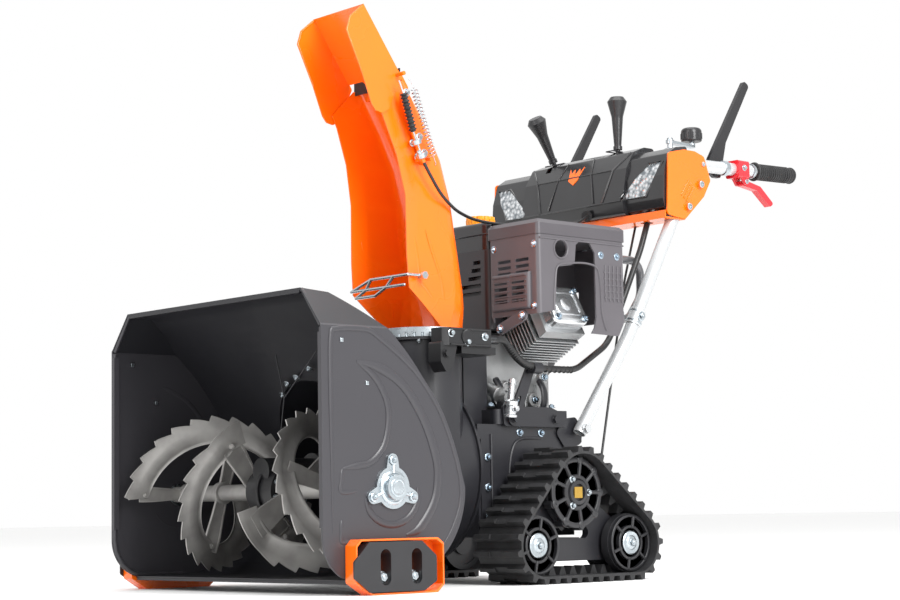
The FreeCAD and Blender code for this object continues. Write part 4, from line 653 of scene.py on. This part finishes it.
def moulded_plastic(name, colour, shade, roughness=0.42, grain_mm=0.9, coat=0.0):
    """Injection-moulded plastic: fine spark texture over very slight sink marks."""
    material, place = blank(name)
    sink, tint = mottled(material, place, 70, colour, shade, 2.0)
    return finished(material, Base_Color=tint, Roughness=shine(material, sink, roughness - 0.04,
        roughness + 0.05),
                    Normal=grained(material, place, grain_mm, 0.3,
                        0.0002), Coat_Weight=coat, Coat_Roughness=0.08)


track_rubber = moulded_rubber("track_rubber", "#19191A", "#2C2C2E", 0.0006)
nylon = moulded_plastic("black_nylon", "#1F1F21", "#2A2A2D", 0.4)
yellow_zinc = zinc_plate("yellow_zinc", "#D8B65C", "#B98F45", 0.3)
dress(track_rubber, "track_left", "track_right", edge=0)
dress(nylon, "idler_front_left", "idler_front_right", "idler_rear_left", "idler_rear_right",
      "sprocket_left", "sprocket_right", edge=0.8)
dress(yellow_zinc, "drive_axle", edge=0.8)
dress(satin_black, "track_frames", edge=1.0)
axle_y, axle_z, idler_z = 680.0, 177.0, 75.0
outer_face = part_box("idler_front_left")[1].x * 1000
for side, hand in ((1, "left"), (-1, "right")):
    out = (side, 0, 0)
    for end, y in (("front", 567.0), ("rear", 828.0)):
        face = at(side * (outer_face - 0.5), y, idler_z)
        wheel = "idler_%s_%s" % (end, hand)
        cap = [lathe(((24, -2), (24, 1.2), (22, 2.6), (15, 2.2), (13, 4.2), (7, 5.0), (4, 4.4)), face,
            out, 40)]
        cap += hex_bolt(face + Vector(out) * 0.0035, out, 13.0, 5.0, 9.0)
        made(wheel + "_disc", cap, bright_zinc, wheel)
        ring = [lathe(((r0, -8), (r0, 0.6), (r0 - 1.2, 1.4), (r0 - 4.5, 1.4), (r0 - 5.5, 0.4),
            (r0 - 5.5, -8)), face, out, 44)
                for r0 in (57.0, 35.0)]
        for k in range(6):
            a = math.radians(60 * k + 20)
            spoke = [face + Vector((0, math.cos(a) * r, math.sin(a) * r)) / 1000 for r in (30, 53)]
            ring.append(along(spoke, 3.4, 8))
        made(wheel + "_relief", ring, nylon, wheel)
    wheel_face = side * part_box("sprocket_left")[1].x * 1000
    relief = [lathe(((70, -3), (70, 1.0), (68, 2.2), (62, 2.2), (60, 1.0), (60, -3)),
        at(wheel_face, axle_y, axle_z), out, 48),
              lathe(((36, -3), (36, 2.5), (34, 4.5), (28, 4.5), (26, 2.0), (24, 7.0), (17, 8.0), (16, 2.0)),
                    at(wheel_face, axle_y, axle_z), out, 40)]
    studs = []
    for k in range(9):
        a = math.radians(40 * k)
        spot = at(wheel_face, axle_y + 65 * math.cos(a), axle_z + 65 * math.sin(a))
        relief.append(lathe(((8.5, -4), (8.5, 2.5), (6.5, 4.0), (3, 4.0)), spot, out, 20))
        inner = at(wheel_face, axle_y + 32 * math.cos(a), axle_z + 32 * math.sin(a))
        relief.append(along([inner + Vector(out) * 0.001, spot + Vector(out) * 0.001], 4.2, 8))
        if k % 3 == 0:
            studs += hex_bolt(at(wheel_face + side * 3.5, axle_y + 30 * math.cos(a),
                axle_z + 30 * math.sin(a)),
                              out, 9.0, 4.5, 7.0)
    made("sprocket_relief_" + hand, relief, nylon, "axle")
    made("sprocket_studs_" + hand, studs, bright_zinc, "axle")
    end_face = at(side * (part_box("drive_axle")[1].x * 1000 - 0.3), axle_y, axle_z)
    made("axle_pin_" + hand, [lathe(((6.5, -1), (6.5, 0.2), (5.5, 0.25)), end_face, out, 24)],
         yellow_zinc, "axle")

# ---------------------------------------------------------------- engine
# A four-stroke with its finned cylinder lying to the left. Cast aluminium crankcase and head,
# a bright rocker cover, and grey moulded covers with louvres, ribs and screws.

fin_metal = cast_metal("die_cast_aluminium", "#C9CBCC", "#A9ABAD", 0.34)
cover_plastic = moulded_plastic("engine_cover_plastic", "#4E4B4F", "#565357", 0.36)
lid_plastic = moulded_plastic("engine_lid_plastic", "#464347", "#4E4B4F", 0.34)
shroud_plastic = moulded_plastic("fan_shroud_plastic", "#27262A", "#2E2D31", 0.34)
tank_black = moulded_plastic("tank_black_paint", "#1D1D20", "#232327", 0.2, 2.0, 0.4)
cap_plastic = moulded_plastic("fuel_cap_plastic", "#F2A21E", "#E8951A", 0.34)
dress(cast_aluminium, "engine_crankcase", edge=1.2)
dress(fin_metal, "engine_cylinder", edge=0.6)
dress(bright_casting, "valve_cover", edge=1.2)
dress(cover_plastic, "engine_cover", edge=1.3)
dress(lid_plastic, "engine_lid", edge=1.6)
dress(shroud_plastic, "blower_housing", edge=1.2)
dress(tank_black, "fuel_tank", edge=1.2)
dress(cap_plastic, "fuel_cap", edge=1.4)

cover_side, cover_front = 276, 600
front = (0, -1, 0)
screws = bolt_row([at(cover_side, y, 660) for y in (779, 826)], (1, 0, 0), 8.0, 3.6, 7.5)
screws += bolt_row([at(x, cover_front, z) for x, z in ((148, 672), (264, 672), (150, 556), (262, 548))],
    front, 8.0, 3.6, 7.5)
screws += bolt_row([at(168, 594, 508), at(232, 594, 530)], front, 10.0, 4.5, 9.0)
made("cover_screws", screws, blue_zinc, "machine")

trims = [along(side_circle((664, 665), cover_side, 19.5, 12), 2.2, 8, closed=True)]
for y in range(790, 839, 12):
    trims.append(along([at(cover_side + 0.2, y, 566), at(cover_side + 0.2, y, 640)], 2.0, 8))
trims.append(along([at(cover_side + 0.3, 604, 684), at(cover_side + 0.3, 846, 684)], 1.8, 8))
trims.append(along(flowing([at(cover_side + 0.3, y, z) for y, z in ((640, 542), (646, 600), (655, 630),
    (694, 638), (740, 640),
                                                       (768, 630), (776, 590), (778, 540), (790,
                                                           506))], 5), 2.2, 8))
made("cover_trims", trims, cover_plastic, "machine")
grille = []
for row in range(7):
    z = 550 + row * 10.0
    for x0, x1 in ((152, 198), (204, 248)):
        if 552 < z < 615:
            grille.append(slab(((x0, z), (x1, z), (x1, z + 2.6), (x0, z + 1.4)), 589.6, 592.4, "y"))
made("louvre_fins", grille, cover_plastic, "machine", bevel=0.4)

engine_bits = []
for x, z, r in ((88, 372, 20), (86, 420, 15), (60, 360, 16), (92, 466, 13), (20, 356, 18)):
    engine_bits.append(lathe(((r, -16), (r, 5), (r - 2, 8), (r * 0.5, 8), (r * 0.45, 5), (r * 0.3, 5)),
        at(x, 606, z), (0, -1, 0), 26))
for y, z, r in ((640, 372, 17), (690, 366, 20), (742, 372, 17), (664, 398, 12), (770, 420, 15)):
    engine_bits.append(lathe(((r, -18), (r, 5), (r - 2, 8), (r * 0.5, 8), (r * 0.45, 5), (r * 0.3, 5)),
        at(104, y, z), (1, 0, 0), 26))
for y in (650, 680, 712, 744):
    engine_bits.append(slab(((y, 352), (y + 3, 352), (y + 3, 404), (y, 404)), 104, 113))
engine_bits.append(lathe(((13, 0), (13, 20), (16, 22), (16, 34), (12, 36)), at(112, 612, 392),
    (0.75, 0, -0.35), 26))
made("crankcase_bosses", engine_bits, cast_aluminium, "machine", bevel=0.6)
boss_bolts = bolt_row([at(112.2, y, z) for y, z in ((640, 372), (690, 366), (742, 372), (770, 420))],
    (1, 0, 0), 11.0, 5.5)
boss_bolts += bolt_row([at(x, 597.8, z) for x, z in ((88, 372), (60, 360), (92, 466), (20, 356))],
    front, 11.0, 5.5)
made("crankcase_bolts", boss_bolts, blue_zinc, "machine")

# rocker cover bolts and rim, on the tilted head
tilt = math.radians(28.0)


def head(x, y, z):
    """A place on the cylinder, drawn level and turned up about the crankshaft line."""
    u, v = x, z - 436.0
    return at(u * math.cos(tilt) - v * math.sin(tilt), y, 436.0 + u * math.sin(tilt) + v * math.cos(tilt))


outward = (math.cos(tilt), 0, math.sin(tilt))
rocker_bits = bolt_row([head(265.8, y, z) for y in (678, 754) for z in (470, 402)], outward, 10.0, 5.0, 8.0)
made("rocker_bolts", rocker_bits, blue_zinc, "machine")
rims = [along([head(266, y, z) for y, z in ((690, 462), (742, 462), (748, 456), (748, 416), (742, 410),
    (690, 410),
                                            (684, 416), (684, 456))], 2.2, 8, closed=True),
        lathe(((16, -2), (16, 2), (13, 3.5), (6, 3.5)), head(266, 716, 436), outward, 30)]
made("rocker_relief", rims, bright_casting, "machine")

# engine feet: curved pressed legs down to the case lid, each side of the crankcase
legs = []
for y in (628.0, 752.0):
    for side in (1, -1):
        x = 116 * side
        line = flowing([at(x, y, 410), at(x + 12 * side, y, 392), at(x + 14 * side, y, 370),
            at(x + 8 * side, y, 352)], 5)
        legs.append(along(line, 9.0, 14, flat=0.4))
made("engine_legs", legs, satin_black, "machine")

# slots and cord handle of the recoil starter at the back, and the band of the tank
slots = []
for k in range(24):
    a = math.radians(15 * k)
    slots.append(along([at(r * math.cos(a), 841.8, 500 + r * math.sin(a)) for r in (34, 80)], 2.6, 8))
slots.append(lathe(((30, 0), (30, 3), (27, 5), (5, 5)), at(0, 841, 500), (0, 1, 0), 40))
made("starter_relief", slots, shroud_plastic, "machine")
pull = lathe(((7, -16), (9, -14), (9, -4), (7, 0), (7, 4), (9, 6), (9, 16), (7, 18)), at(88, 834, 560),
    (0, 0.2, 1), 24)
made("starter_handle", [pull], moulded_plastic("starter_handle_rubber", "#1E1E20", "#262628", 0.5),
    "machine")
seam_z = (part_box("fuel_tank")[0].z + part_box("fuel_tank")[1].z) * 500
tank_low, tank_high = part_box("fuel_tank")
west, east = tank_low.x * 1000, tank_high.x * 1000
seam = [at(x, y, seam_z) for x, y in (
    (west + 20, 612), (east - 20, 612), (east - 6, 618), (east, 632), (east, 780), (east - 6,
        794), (east - 20, 800),
    (west + 20, 800), (west + 6, 794), (west, 780), (west, 632), (west + 6, 618))]
made("tank_seam", [along(seam, 2.4, 8, closed=True)], tank_black, "machine")
cap_low, cap_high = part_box("fuel_cap")
cap_top = at(40, 664, cap_high.z * 1000 - 0.5)
cap_rings = [lathe(((24, 0), (24, 1.2), (22.5, 2.0), (19, 2.0), (18, 1.0), (8, 1.0)),
    cap_top - Vector((0, 0, 0.0012)), (0, 0, 1), 40)]
for k in range(24):
    a = math.radians(15 * k)
    cap_rings.append(along([at(40 + 29.4 * math.cos(a), 664 + 29.4 * math.sin(a), z) for z in
                            (cap_low.z * 1000 + 3, cap_high.z * 1000 - 6)], 1.5, 6))
made("cap_grip", cap_rings, cap_plastic, "fuel_cap")

# ---------------------------------------------------------------- chute and deflector
# Orange powder-coated sheet: a tall folded channel on a zinc turning ring, and a hood hinged to
# its top. A plated wire guard, a cable bracket and a return spring are fixed to its left wall.

orange_coat = powder_coat("orange_powder_coat", "#FF7008", "#FB6500", 0.26, 2.4, 0.35)
dress(orange_coat, "chute_shell", "deflector", edge=0.9)
wire_zinc = zinc_plate("drawn_wire_zinc", "#C9CFD3", "#A9B1B7", 0.26)
dress(bright_zinc, "chute_ring", edge=0.5)
dress(wire_zinc, "chute_guard", edge=0)

ribs = []
for line in (((389, 692), (407, 646), (425, 601), (433, 556), (437, 516)),
    ((356, 689), (363, 654), (369, 619), (372, 573)),
             ((372, 590), (390, 574), (405, 557))):
    for side in (1, -1):
        wall = 100 + side * 79.3
        path = flowing([at(wall, u, v) for u, v in line], 6)
        ribs.append(along(path, [3.4 * min(1.0,
            0.3 + 5 * min(k, len(path) - 1 - k) / len(path)) for k in range(len(path))],
                          10, flat=0.45))
made("chute_ribs", ribs, orange_coat, "chute")

edge_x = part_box("deflector")
hood_low_x, hood_high_x = edge_x[0].x * 1000 + 1.2, 100 + 76.6
hems = []
for x in (hood_low_x + 0.6, hood_high_x):
    hems.append(along([at(x, 241.5, 1118.4), at(x, 207.6, 1090.6), at(x, 198.8, 1064.2),
        at(x, 236.4, 985.4)], 1.9, 10))
hems.append(along([at(hood_low_x + 0.6, 241.5, 1118.4), at(hood_high_x, 241.5, 1118.4)], 1.9, 10))
made("hood_edges", hems, orange_coat, "deflector")

patch_rubber = moulded_rubber("flap_rubber", "#1A1A1B", "#262628", 0.0004)
flap = slab(((29, 1009), (171, 1009), (171, 976), (29, 976)), 335.0, 337.0, "y")
made("hinge_flap", [flap], patch_rubber, "chute", bevel=0.6)
hinge_bits = bolt_row([at(x, 351.0, 986) for x in (56, 144)], (0, 1, 0.4), 8.0, 3.5, 7.0)
made("hinge_screws", hinge_bits, bright_zinc, "chute")

# cable boot, rod and pin on the left wall
x = 197.0
rod_top, boot_top, boot_end = at(x, 311, 976), at(x, 322, 952), at(x, 346, 879)
made("pull_rod", [along([rod_top, boot_top, boot_end, at(x, 370, 826)], 2.0, 10)], bright_zinc, "chute")
steps = 60
pleats = [boot_top.lerp(boot_end, k / steps) for k in range(steps + 1)]
made("bellows", [along(pleats, [6.6 + 1.7 * math.sin(2 * math.pi * 11 * k / steps)
    for k in range(steps + 1)], 22)],
     patch_rubber, "chute", crease=70)
clamps = []
for y, z in ((354, 860), (366, 834)):
    clamps.append(lathe(((8.4, -5), (9.2, -4), (9.2, 4), (8.4, 5)), at(x, y, z), (0, 0.42, -0.91), 26))
    clamps += hex_bolt(at(x - 14, y, z), (1, 0, 0), 8.0, 3.5, 7.0)
made("boot_clamps", clamps, bright_zinc, "chute")
coil = []
spring_top, spring_low = at(202, 345, 962), at(202, 392, 835)
axis = (spring_low - spring_top).normalized()
cross = axis.orthogonal().normalized()
turns = 19
for k in range(turns * 14 + 1):
    a = 2 * math.pi * k / 14
    middle = spring_top.lerp(spring_low, k / (turns * 14))
    coil.append(middle + (cross * math.cos(a) + axis.cross(cross) * math.sin(a)) * 0.0062)
spring_steel = zinc_plate("spring_steel", "#BFC4C8", "#8E959B", 0.24)
made("return_spring", [along(coil, 1.1, 7), along([spring_top, at(202, 338, 979), at(199, 334, 981)],
    1.1, 7),
                       along([spring_low, at(202, 398, 822), at(198, 400, 818)], 1.1, 7)],
     spring_steel, "chute", crease=80)
bracket_bolts = bolt_row([at(184.2, y, z) for y, z in ((340, 958), (372, 874), (384, 843))], (1, 0, 0),
    10.0, 4.5, 8.0)
made("bracket_bolts", bracket_bolts, bright_zinc, "chute")

# ---------------------------------------------------------------- chute gearbox
# A cast worm box in black enamel beside the ring, with two clamp bolts and a steel rose joint.

dress(cast_black, "chute_gearbox", edge=1.6)
box_bits = bolt_row([at(238.2, y, z) for y, z in ((398, 486), (486, 482), (440, 470))], (1, 0, 0), 10.0,
    5.0, 8.0)
box_bits.append(lathe(((6, -4), (9, -3), (9, 12), (6, 13)), at(214, 520, 480), (0, 1, 0), 20))
made("worm_box_bolts", box_bits, bright_zinc, "machine")
lips = [along([at(238.4, 396, 494.5), at(238.4, 500, 494.5)], 2.0, 8),
    along([at(238.4, 396, 464.5), at(238.4, 500, 464.5)], 2.0, 8),
        lathe(((15, -3), (15, 2), (13, 4), (6, 4)), at(238, 440, 480), (1, 0, 0), 26)]
made("worm_box_ribs", lips, cast_black, "machine")
nuts = []
for k in range(6):
    a = math.radians(60 * k + 15)
    nuts += hex_bolt(at(100 + 84.2 * math.cos(a), 443 + 84.2 * math.sin(a), 479), (0, 0, -1), 8.0, 4.0, 3.8)
made("neck_nuts", nuts, bright_zinc, "machine")

# ---------------------------------------------------------------- handles, grips and levers
# Bent steel tube in silver lacquer, with clamped joints, soft ribbed grips, red die-cast clamps
# and triggers, and long black clutch levers on plated brackets.


def lacquered_tube(name, colour, shade):
    """Silver lacquer on drawn tube: fine metal flake, and faint marks of the tube mill."""
    material, place = blank(name)
    flake = add_node(material, "TexVoronoi", {"Vector": place, "Scale": 1000 / 0.9})
    tint = add_node(material, "MixRGB", {"Fac": flake.outputs["Distance"], "Color1": linear(colour),
                                         "Color2": linear(shade)})
    waves = add_node(material, "TexNoise", {"Vector": place, "Scale": 1000 / 22, "Detail": 3.0})
    gloss = add_node(material, "MapRange", {"Value": waves.outputs["Fac"], "To Min": 0.26, "To Max": 0.44})
    skin = add_node(material, "Bump", {"Height": waves.outputs["Fac"], "Strength": 0.1, "Distance": 0.0004})
    return finished(material, Base_Color=tint.outputs["Color"], Metallic=0.5,
        Roughness=gloss.outputs["Result"],
                    Normal=skin.outputs["Normal"], Coat_Weight=0.3)


silver_lacquer = lacquered_tube("silver_lacquer", "#CFD1D2", "#B4B7B9")
grey_lacquer = lacquered_tube("grey_lacquer", "#77787B", "#626366")
grip_rubber = moulded_rubber("grip_rubber", "#1A1A1B", "#252526", 0.0005, 0.5)
red_enamel = powder_coat("red_enamel", "#D51F2A", "#C41A25", 0.24, 3.0, 0.4)
lever_black = moulded_plastic("lever_plastic", "#1B1B1D", "#232325", 0.3)
dress(silver_lacquer, "handles", edge=0.6)
dress(grip_rubber, "grips", edge=0.8)
dress(red_enamel, "trigger_clamps", "trigger_left", "trigger_right", edge=1.2)
dress(lever_black, "clutch_lever_left", "clutch_lever_right", edge=1.6)
dress(grey_lacquer, "brace_tube", edge=0.6)

elbow, grip_tip = at(251, 1082, 884), at(262, 1423.3, 891)
reach = (grip_tip - elbow).normalized()
for side, hand in ((1, "left"), (-1, "right")):
    def turned(point):
        """The same place on this side of the machine."""
        return Vector((point.x * side, point.y, point.z))
    line = Vector((reach.x * side, reach.y, reach.z))
    start = turned(grip_tip - reach * 0.128)
    rings = []
    for k in range(15):
        spot = start + line * (0.012 + 0.0068 * k)
        rings.append(lathe(((17.2, -1.7), (18.6, -0.9), (18.6, 0.9), (17.2, 1.7)), spot, line, 30))
    rings.append(lathe(((17.2, -4), (20.5, -2.5), (21.5, 0), (20.5, 2.5), (17.2, 4)),
        start + line * 0.004, line, 34))
    rings.append(lathe(((17.2, -2), (18.8, -1), (18.8, 1), (16.0, 1.6)),
        turned(grip_tip) - line * 0.004, line, 34))
    made("grip_rings_" + hand, rings, grip_rubber, "machine")
    collar_at = turned(elbow + reach * 0.118)
    metal = [lathe(((14.2, -7), (16.5, -6), (16.5, 6), (14.2, 7)), collar_at, line, 34),
             lathe(((14.2, -3), (16.8, -2.4), (16.8, 2.4), (14.2, 3)), turned(elbow + reach * 0.205),
                 line, 34)]
    metal += hex_bolt(turned(at(250.5, 1181, 888)), (side, 0, 0), 12.0, 6.0, 10.0)
    metal += hex_bolt(turned(at(223, 1181, 888)), (-side, 0, 0), 12.0, 6.0, 10.0)
    joint = turned(at(215, 918, 503))
    fall = Vector((36.0 * side, 114, 259)).normalized()
    for r in (0.036, 0.058):
        metal.append(lathe(((17.1, -2.2), (18.2, -1.4), (18.2, 1.4), (17.1, 2.2)), joint + fall * r,
            fall, 34))
    metal += hex_bolt(joint + fall * 0.047 + Vector((side * 0.0165, 0, 0)), (side, 0, 0), 12.0, 6.0, 10.0)
    metal += hex_bolt(turned(at(268, 1112, 884)), (side, 0, 0), 10.0, 5.0, 8.0)
    made("handle_collars_" + hand, metal, bright_zinc, "machine")
    pins = hex_bolt(turned(at(272.4, 1256, 860)), (side, 0, 0), 7.0, 2.6, 5.5)
    pins += hex_bolt(turned(at(276.3, 1244, 889)), (side, 0, 0), 9.0, 4.0, 7.0)
    made("clamp_pins_" + hand, pins, bright_zinc, "machine")

# ---------------------------------------------------------------- dash panel
# A gloss black moulded console between two faceted headlights, carried in an orange steel tray
# with ribbed side plates. Two paddle-knob levers pass through its slots.


def polished_moulding():
    """Gloss black moulding: clear mirror shine over deep black, with faint moulding ripple."""
    material, place = blank("gloss_black_moulding")
    tint = mottled(material, place, 28, "#131315", "#1C1C1F", 2.0)[1]
    return finished(material, Base_Color=tint, Roughness=0.3, Normal=grained(material, place, 0.7, 0.15,
        0.0001),
                    Coat_Weight=0.5, Coat_Roughness=0.1)


def lamp_glass():
    """Clear polycarbonate over a chromed cup, cut into 7 mm facets: besides its bump, each facet's colour
    is a painted reflection, near white or dark grey.
    """
    material, place = blank("lamp_lens_painted_reflections")
    facets = add_node(material, "TexVoronoi", {"Vector": place, "Scale": 1000 / 9})
    # painted reflection: the ramp paints each facet near white or dark grey in place of the glints of the
    # chromed cup
    tone = add_node(material, "ValToRGB", {"Fac": facets.outputs["Distance"]})
    tone.color_ramp.elements[0].position, tone.color_ramp.elements[1].position = 0.1, 0.75
    tone.color_ramp.elements[0].color = linear("#F4F7F9")
    tone.color_ramp.elements[1].color = linear("#6F777D")
    skin = add_node(material, "Bump", {"Height": facets.outputs["Distance"], "Strength": 0.9,
        "Distance": 0.003})
    return finished(material, Base_Color=tone.outputs["Color"], Metallic=0.75, Roughness=0.1,
                    Normal=skin.outputs["Normal"], Coat_Weight=1.0, Coat_Roughness=0.03)


gloss_black = polished_moulding()
lamp_lens = lamp_glass()
dress(gloss_black, "panel_fascia", edge=1.4)
dress(orange_coat, "panel_frame", edge=1.2)
dress(lamp_lens, "headlights", edge=0.6)
dress(lever_black, "speed_lever", "deflector_lever", "crank_knob", edge=1.2)
dress(bright_zinc, "chute_crank", edge=0.6)
side_bits, side_bolts = [], []
for side in (1, -1):
    for y0, z0, y1, z1 in ((1068, 776, 1088, 800), (1076, 770, 1096, 794), (1084, 764, 1102, 787)):
        side_bits.append(along([at(side * 271.2, y0 - 30, z0 + 34), at(side * 271.2, y1 - 24, z1 + 44)],
            2.0, 8))
    for y, z in ((1098, 838), (1057, 786)):
        side_bolts.append(lathe(((7.6, 0), (7.6, 2.0), (6.6, 3.2), (3.4, 3.2), (3.0, 1.6)),
            at(side * 276.8, y, z), (side, 0, 0), 24))
made("side_plate_ribs", side_bits, orange_coat, "machine")
made("side_plate_bolts", side_bolts, bright_zinc, "machine")


def console(x, y, z):
    """A place just proud of the console's front faces: y and z are read off its profile."""
    return at(x, y - 0.6, z + 0.3)


trim = []
for side in (1, -1):
    trim.append(along([console(side * 152, 1014, 917), console(side * 118, 990, 880),
        console(side * 96, 974, 808)], 2.2, 8))
    trim.append(along([console(side * 40, 1014, 918), console(side * 52, 990, 880),
        console(side * 70, 974, 812)], 1.6, 8))
trim.append(along([console(-152, 974, 806), console(152, 974, 806)], 1.8, 8))
trim.append(along([console(-118, 990, 880), console(118, 990, 880)], 1.4, 8))
for side in (1, -1):
    rim = [(140, 808), (218, 808), (256, 882), (216, 882)]
    spots = []
    for x, z in rim:
        y = 984 + (z - 800) * 0.08 if z < 850 else 988 + (z - 850) * 0.333
        spots.append(at(side * x, y - 0.8, z))
    trim.append(along(spots, 2.6, 8, closed=True))
made("console_trim", trim, gloss_black, "machine")
slots = []
for x, y0, y1, z in ((80, 1020, 1076, 931.2), (-100, 1008, 1076, 929.5)):
    slots.append(along([at(x - 9.5, y0, z - (0 if y0 > 1015 else 8)), at(x - 9.5, 1048, 931.4),
        at(x - 9.5, y1, 931.4),
                        at(x + 9.5, y1, 931.4), at(x + 9.5, 1048, 931.4), at(x + 9.5, y0,
                            z - (0 if y0 > 1015 else 8))],
                       1.5, 8, closed=True))
made("lever_slot_rims", slots, satin_black, "machine")
badge_points = [(-17, 902), (-9, 888), (-4, 900), (2, 884), (9, 900), (14, 889), (20, 903), (14, 874),
    (2, 862), (-12, 873)]
outline = []
for x, z in badge_points:
    y = 990 + (z - 880) * 0.63 if z > 880 else 990 - (880 - z) * 0.216
    outline.append(at(x * 1.15 - 4, y - 1.4, z + 0.6))
count = len(outline)
plate = (outline + [p + Vector((0, 0.002, -0.001)) for p in outline],
    [tuple(range(count)), tuple(range(count, 2 * count))[::-1]]
         + [(i, count + i, count + (i + 1) % count, (i + 1) % count) for i in range(count)])
made("leaf_emblem", [plate], orange_coat, "machine")
knob_ribs = []
for k in range(18):
    a = math.radians(20 * k)
    knob_ribs.append(along([at(200 + 22.6 * math.cos(a), 1158 + 22.6 * math.sin(a), z) for z in (955,
        968)], 1.6, 6))
made("knob_ribs", knob_ribs, lever_black, "chute_crank")
crank_bits = hex_bolt(at(205, 1081, 942.5), (0, 0, 1), 11.0, 5.0, 9.0)
crank_bits.append(lathe(((8, 0), (8, 3), (5, 4), (5, 7)), at(200, 1158, 942), (0, 0, 1), 20))
crank_bits.append(lathe(((13, -1), (13, 3), (11, 4.5)), at(205, 1081, 921), (0, 0, 1), 26))
made("crank_bolt", crank_bits, bright_zinc, "chute_crank")

# ---------------------------------------------------------------- cables, conduit and brace
# Black PVC-jacketed control cables with crimped ends, the chute drive in its ribbed conduit, and
# the grey tube brace.

cable_pvc = moulded_rubber("cable_pvc", "#161617", "#222223", 0.0003, 0.4)
dress(cable_pvc, "control_cables", "deflector_cable", edge=0)
dress(satin_black, "cable_arm", edge=0.8)
run = flowing([at(196, 372, 822), at(197.5, 388, 797), at(194, 418, 764), at(185, 458, 741),
    at(165, 505, 733),
               at(140, 560, 731), at(124.5, 620, 731), at(122, 700, 732), at(123, 790, 735), at(116,
                   850, 744),
               at(88, 910, 762), at(40, 1000, 796)], 12)
deflector_line = made("deflector_line", [along(run, 3.2, 14)], cable_pvc, None)
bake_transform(deflector_line)
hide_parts("deflector_cable")
grommet = [lathe(((3.4, -6), (12, -6), (12, -3), (9.5, -2), (9.5, 3), (12, 4), (12, 6), (3.4, 6)),
    at(52, 974, 786), (-0.42, 0.86, 0.3), 26)]
made("cable_grommet", grommet, patch_rubber, "machine")
ends = [lathe(((4.2, 0), (4.2, 16), (5.2, 17), (5.2, 24), (3.4, 26)), at(196, 372, 822),
    (0, -0.537, 0.844), 20)]
made("cable_ferrule", ends, bright_zinc, "chute")
rod_bits = [along([at(164, 889, 404), at(164, 934, 472)], 2.4, 10),
    along(flowing([at(164, 835, 322), at(164, 822, 300),
            at(164, 812, 290), at(164, 806, 300)], 5), 2.4, 10)]
made("drive_rod", rod_bits, bright_zinc, "machine")
sleeve = [lathe(((9.2, h), (10.6, h + 1.2), (10.6, h + 2.6), (9.2, h + 3.8)), at(164, 834, 321),
    (0, 55, 83), 24)
          for h in (6.0 * k + 2.0 for k in range(15))]
made("rod_boot_pleats", sleeve, patch_rubber, "machine")
conduit = flowing([at(214, 541, 480), at(214, 560, 480), at(212, 596, 447), at(205, 650, 429.5),
    at(204, 764, 429)], 10)
rings = []
for k in range(2, len(conduit) - 1):
    rings.append(lathe(((6.6, -1.4), (7.4, -0.7), (7.4, 0.7), (6.6, 1.4)), conduit[k],
        conduit[k + 1] - conduit[k - 1], 18))
made("conduit_rings", rings, cable_pvc, "machine")
brace_bits = bolt_row([at(165, 850, 685.4), at(165, 862, 557.4)], (0, 0, 1), 10.0, 5.0, 8.0)
made("brace_bolts", brace_bits, bright_zinc, "machine")

# ---------------------------------------------------------------- skid shoes
# Orange pressed trays with rolled lips, each holding a thick black wear pad that is slotted for
# height and clamped by two zinc carriage bolts.

dress(orange_coat, "skid_shoe_left", "skid_shoe_right", edge=1.0)
pad_nylon = moulded_plastic("skid_pad_nylon", "#1C1C1E", "#262629", 0.4)
dress(pad_nylon, "skid_pad_left", "skid_pad_right", edge=1.6)
shoe_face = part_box("skid_shoe_left")[1].x * 1000
for side, hand in ((1, "left"), (-1, "right")):
    lip_x = side * (shoe_face - 2.0)
    lips = [along([at(lip_x, 62, 96.2), at(lip_x, 236, 96.2), at(lip_x, 249.8, 87)], 2.0, 10),
            along([at(lip_x, 84, 2.0), at(lip_x, 234, 2.0), at(lip_x, 249.8, 14)], 2.0, 10)]
    made("tray_lips_" + hand, lips, orange_coat, "skid_" + hand)
    heads = bolt_row([at(side * 362.0, y, 31) for y in (112.0, 184.0)], (side, 0, 0), 15.0, 7.0, 11.0)
    made("skid_bolts_" + hand, heads, bright_zinc, "machine")
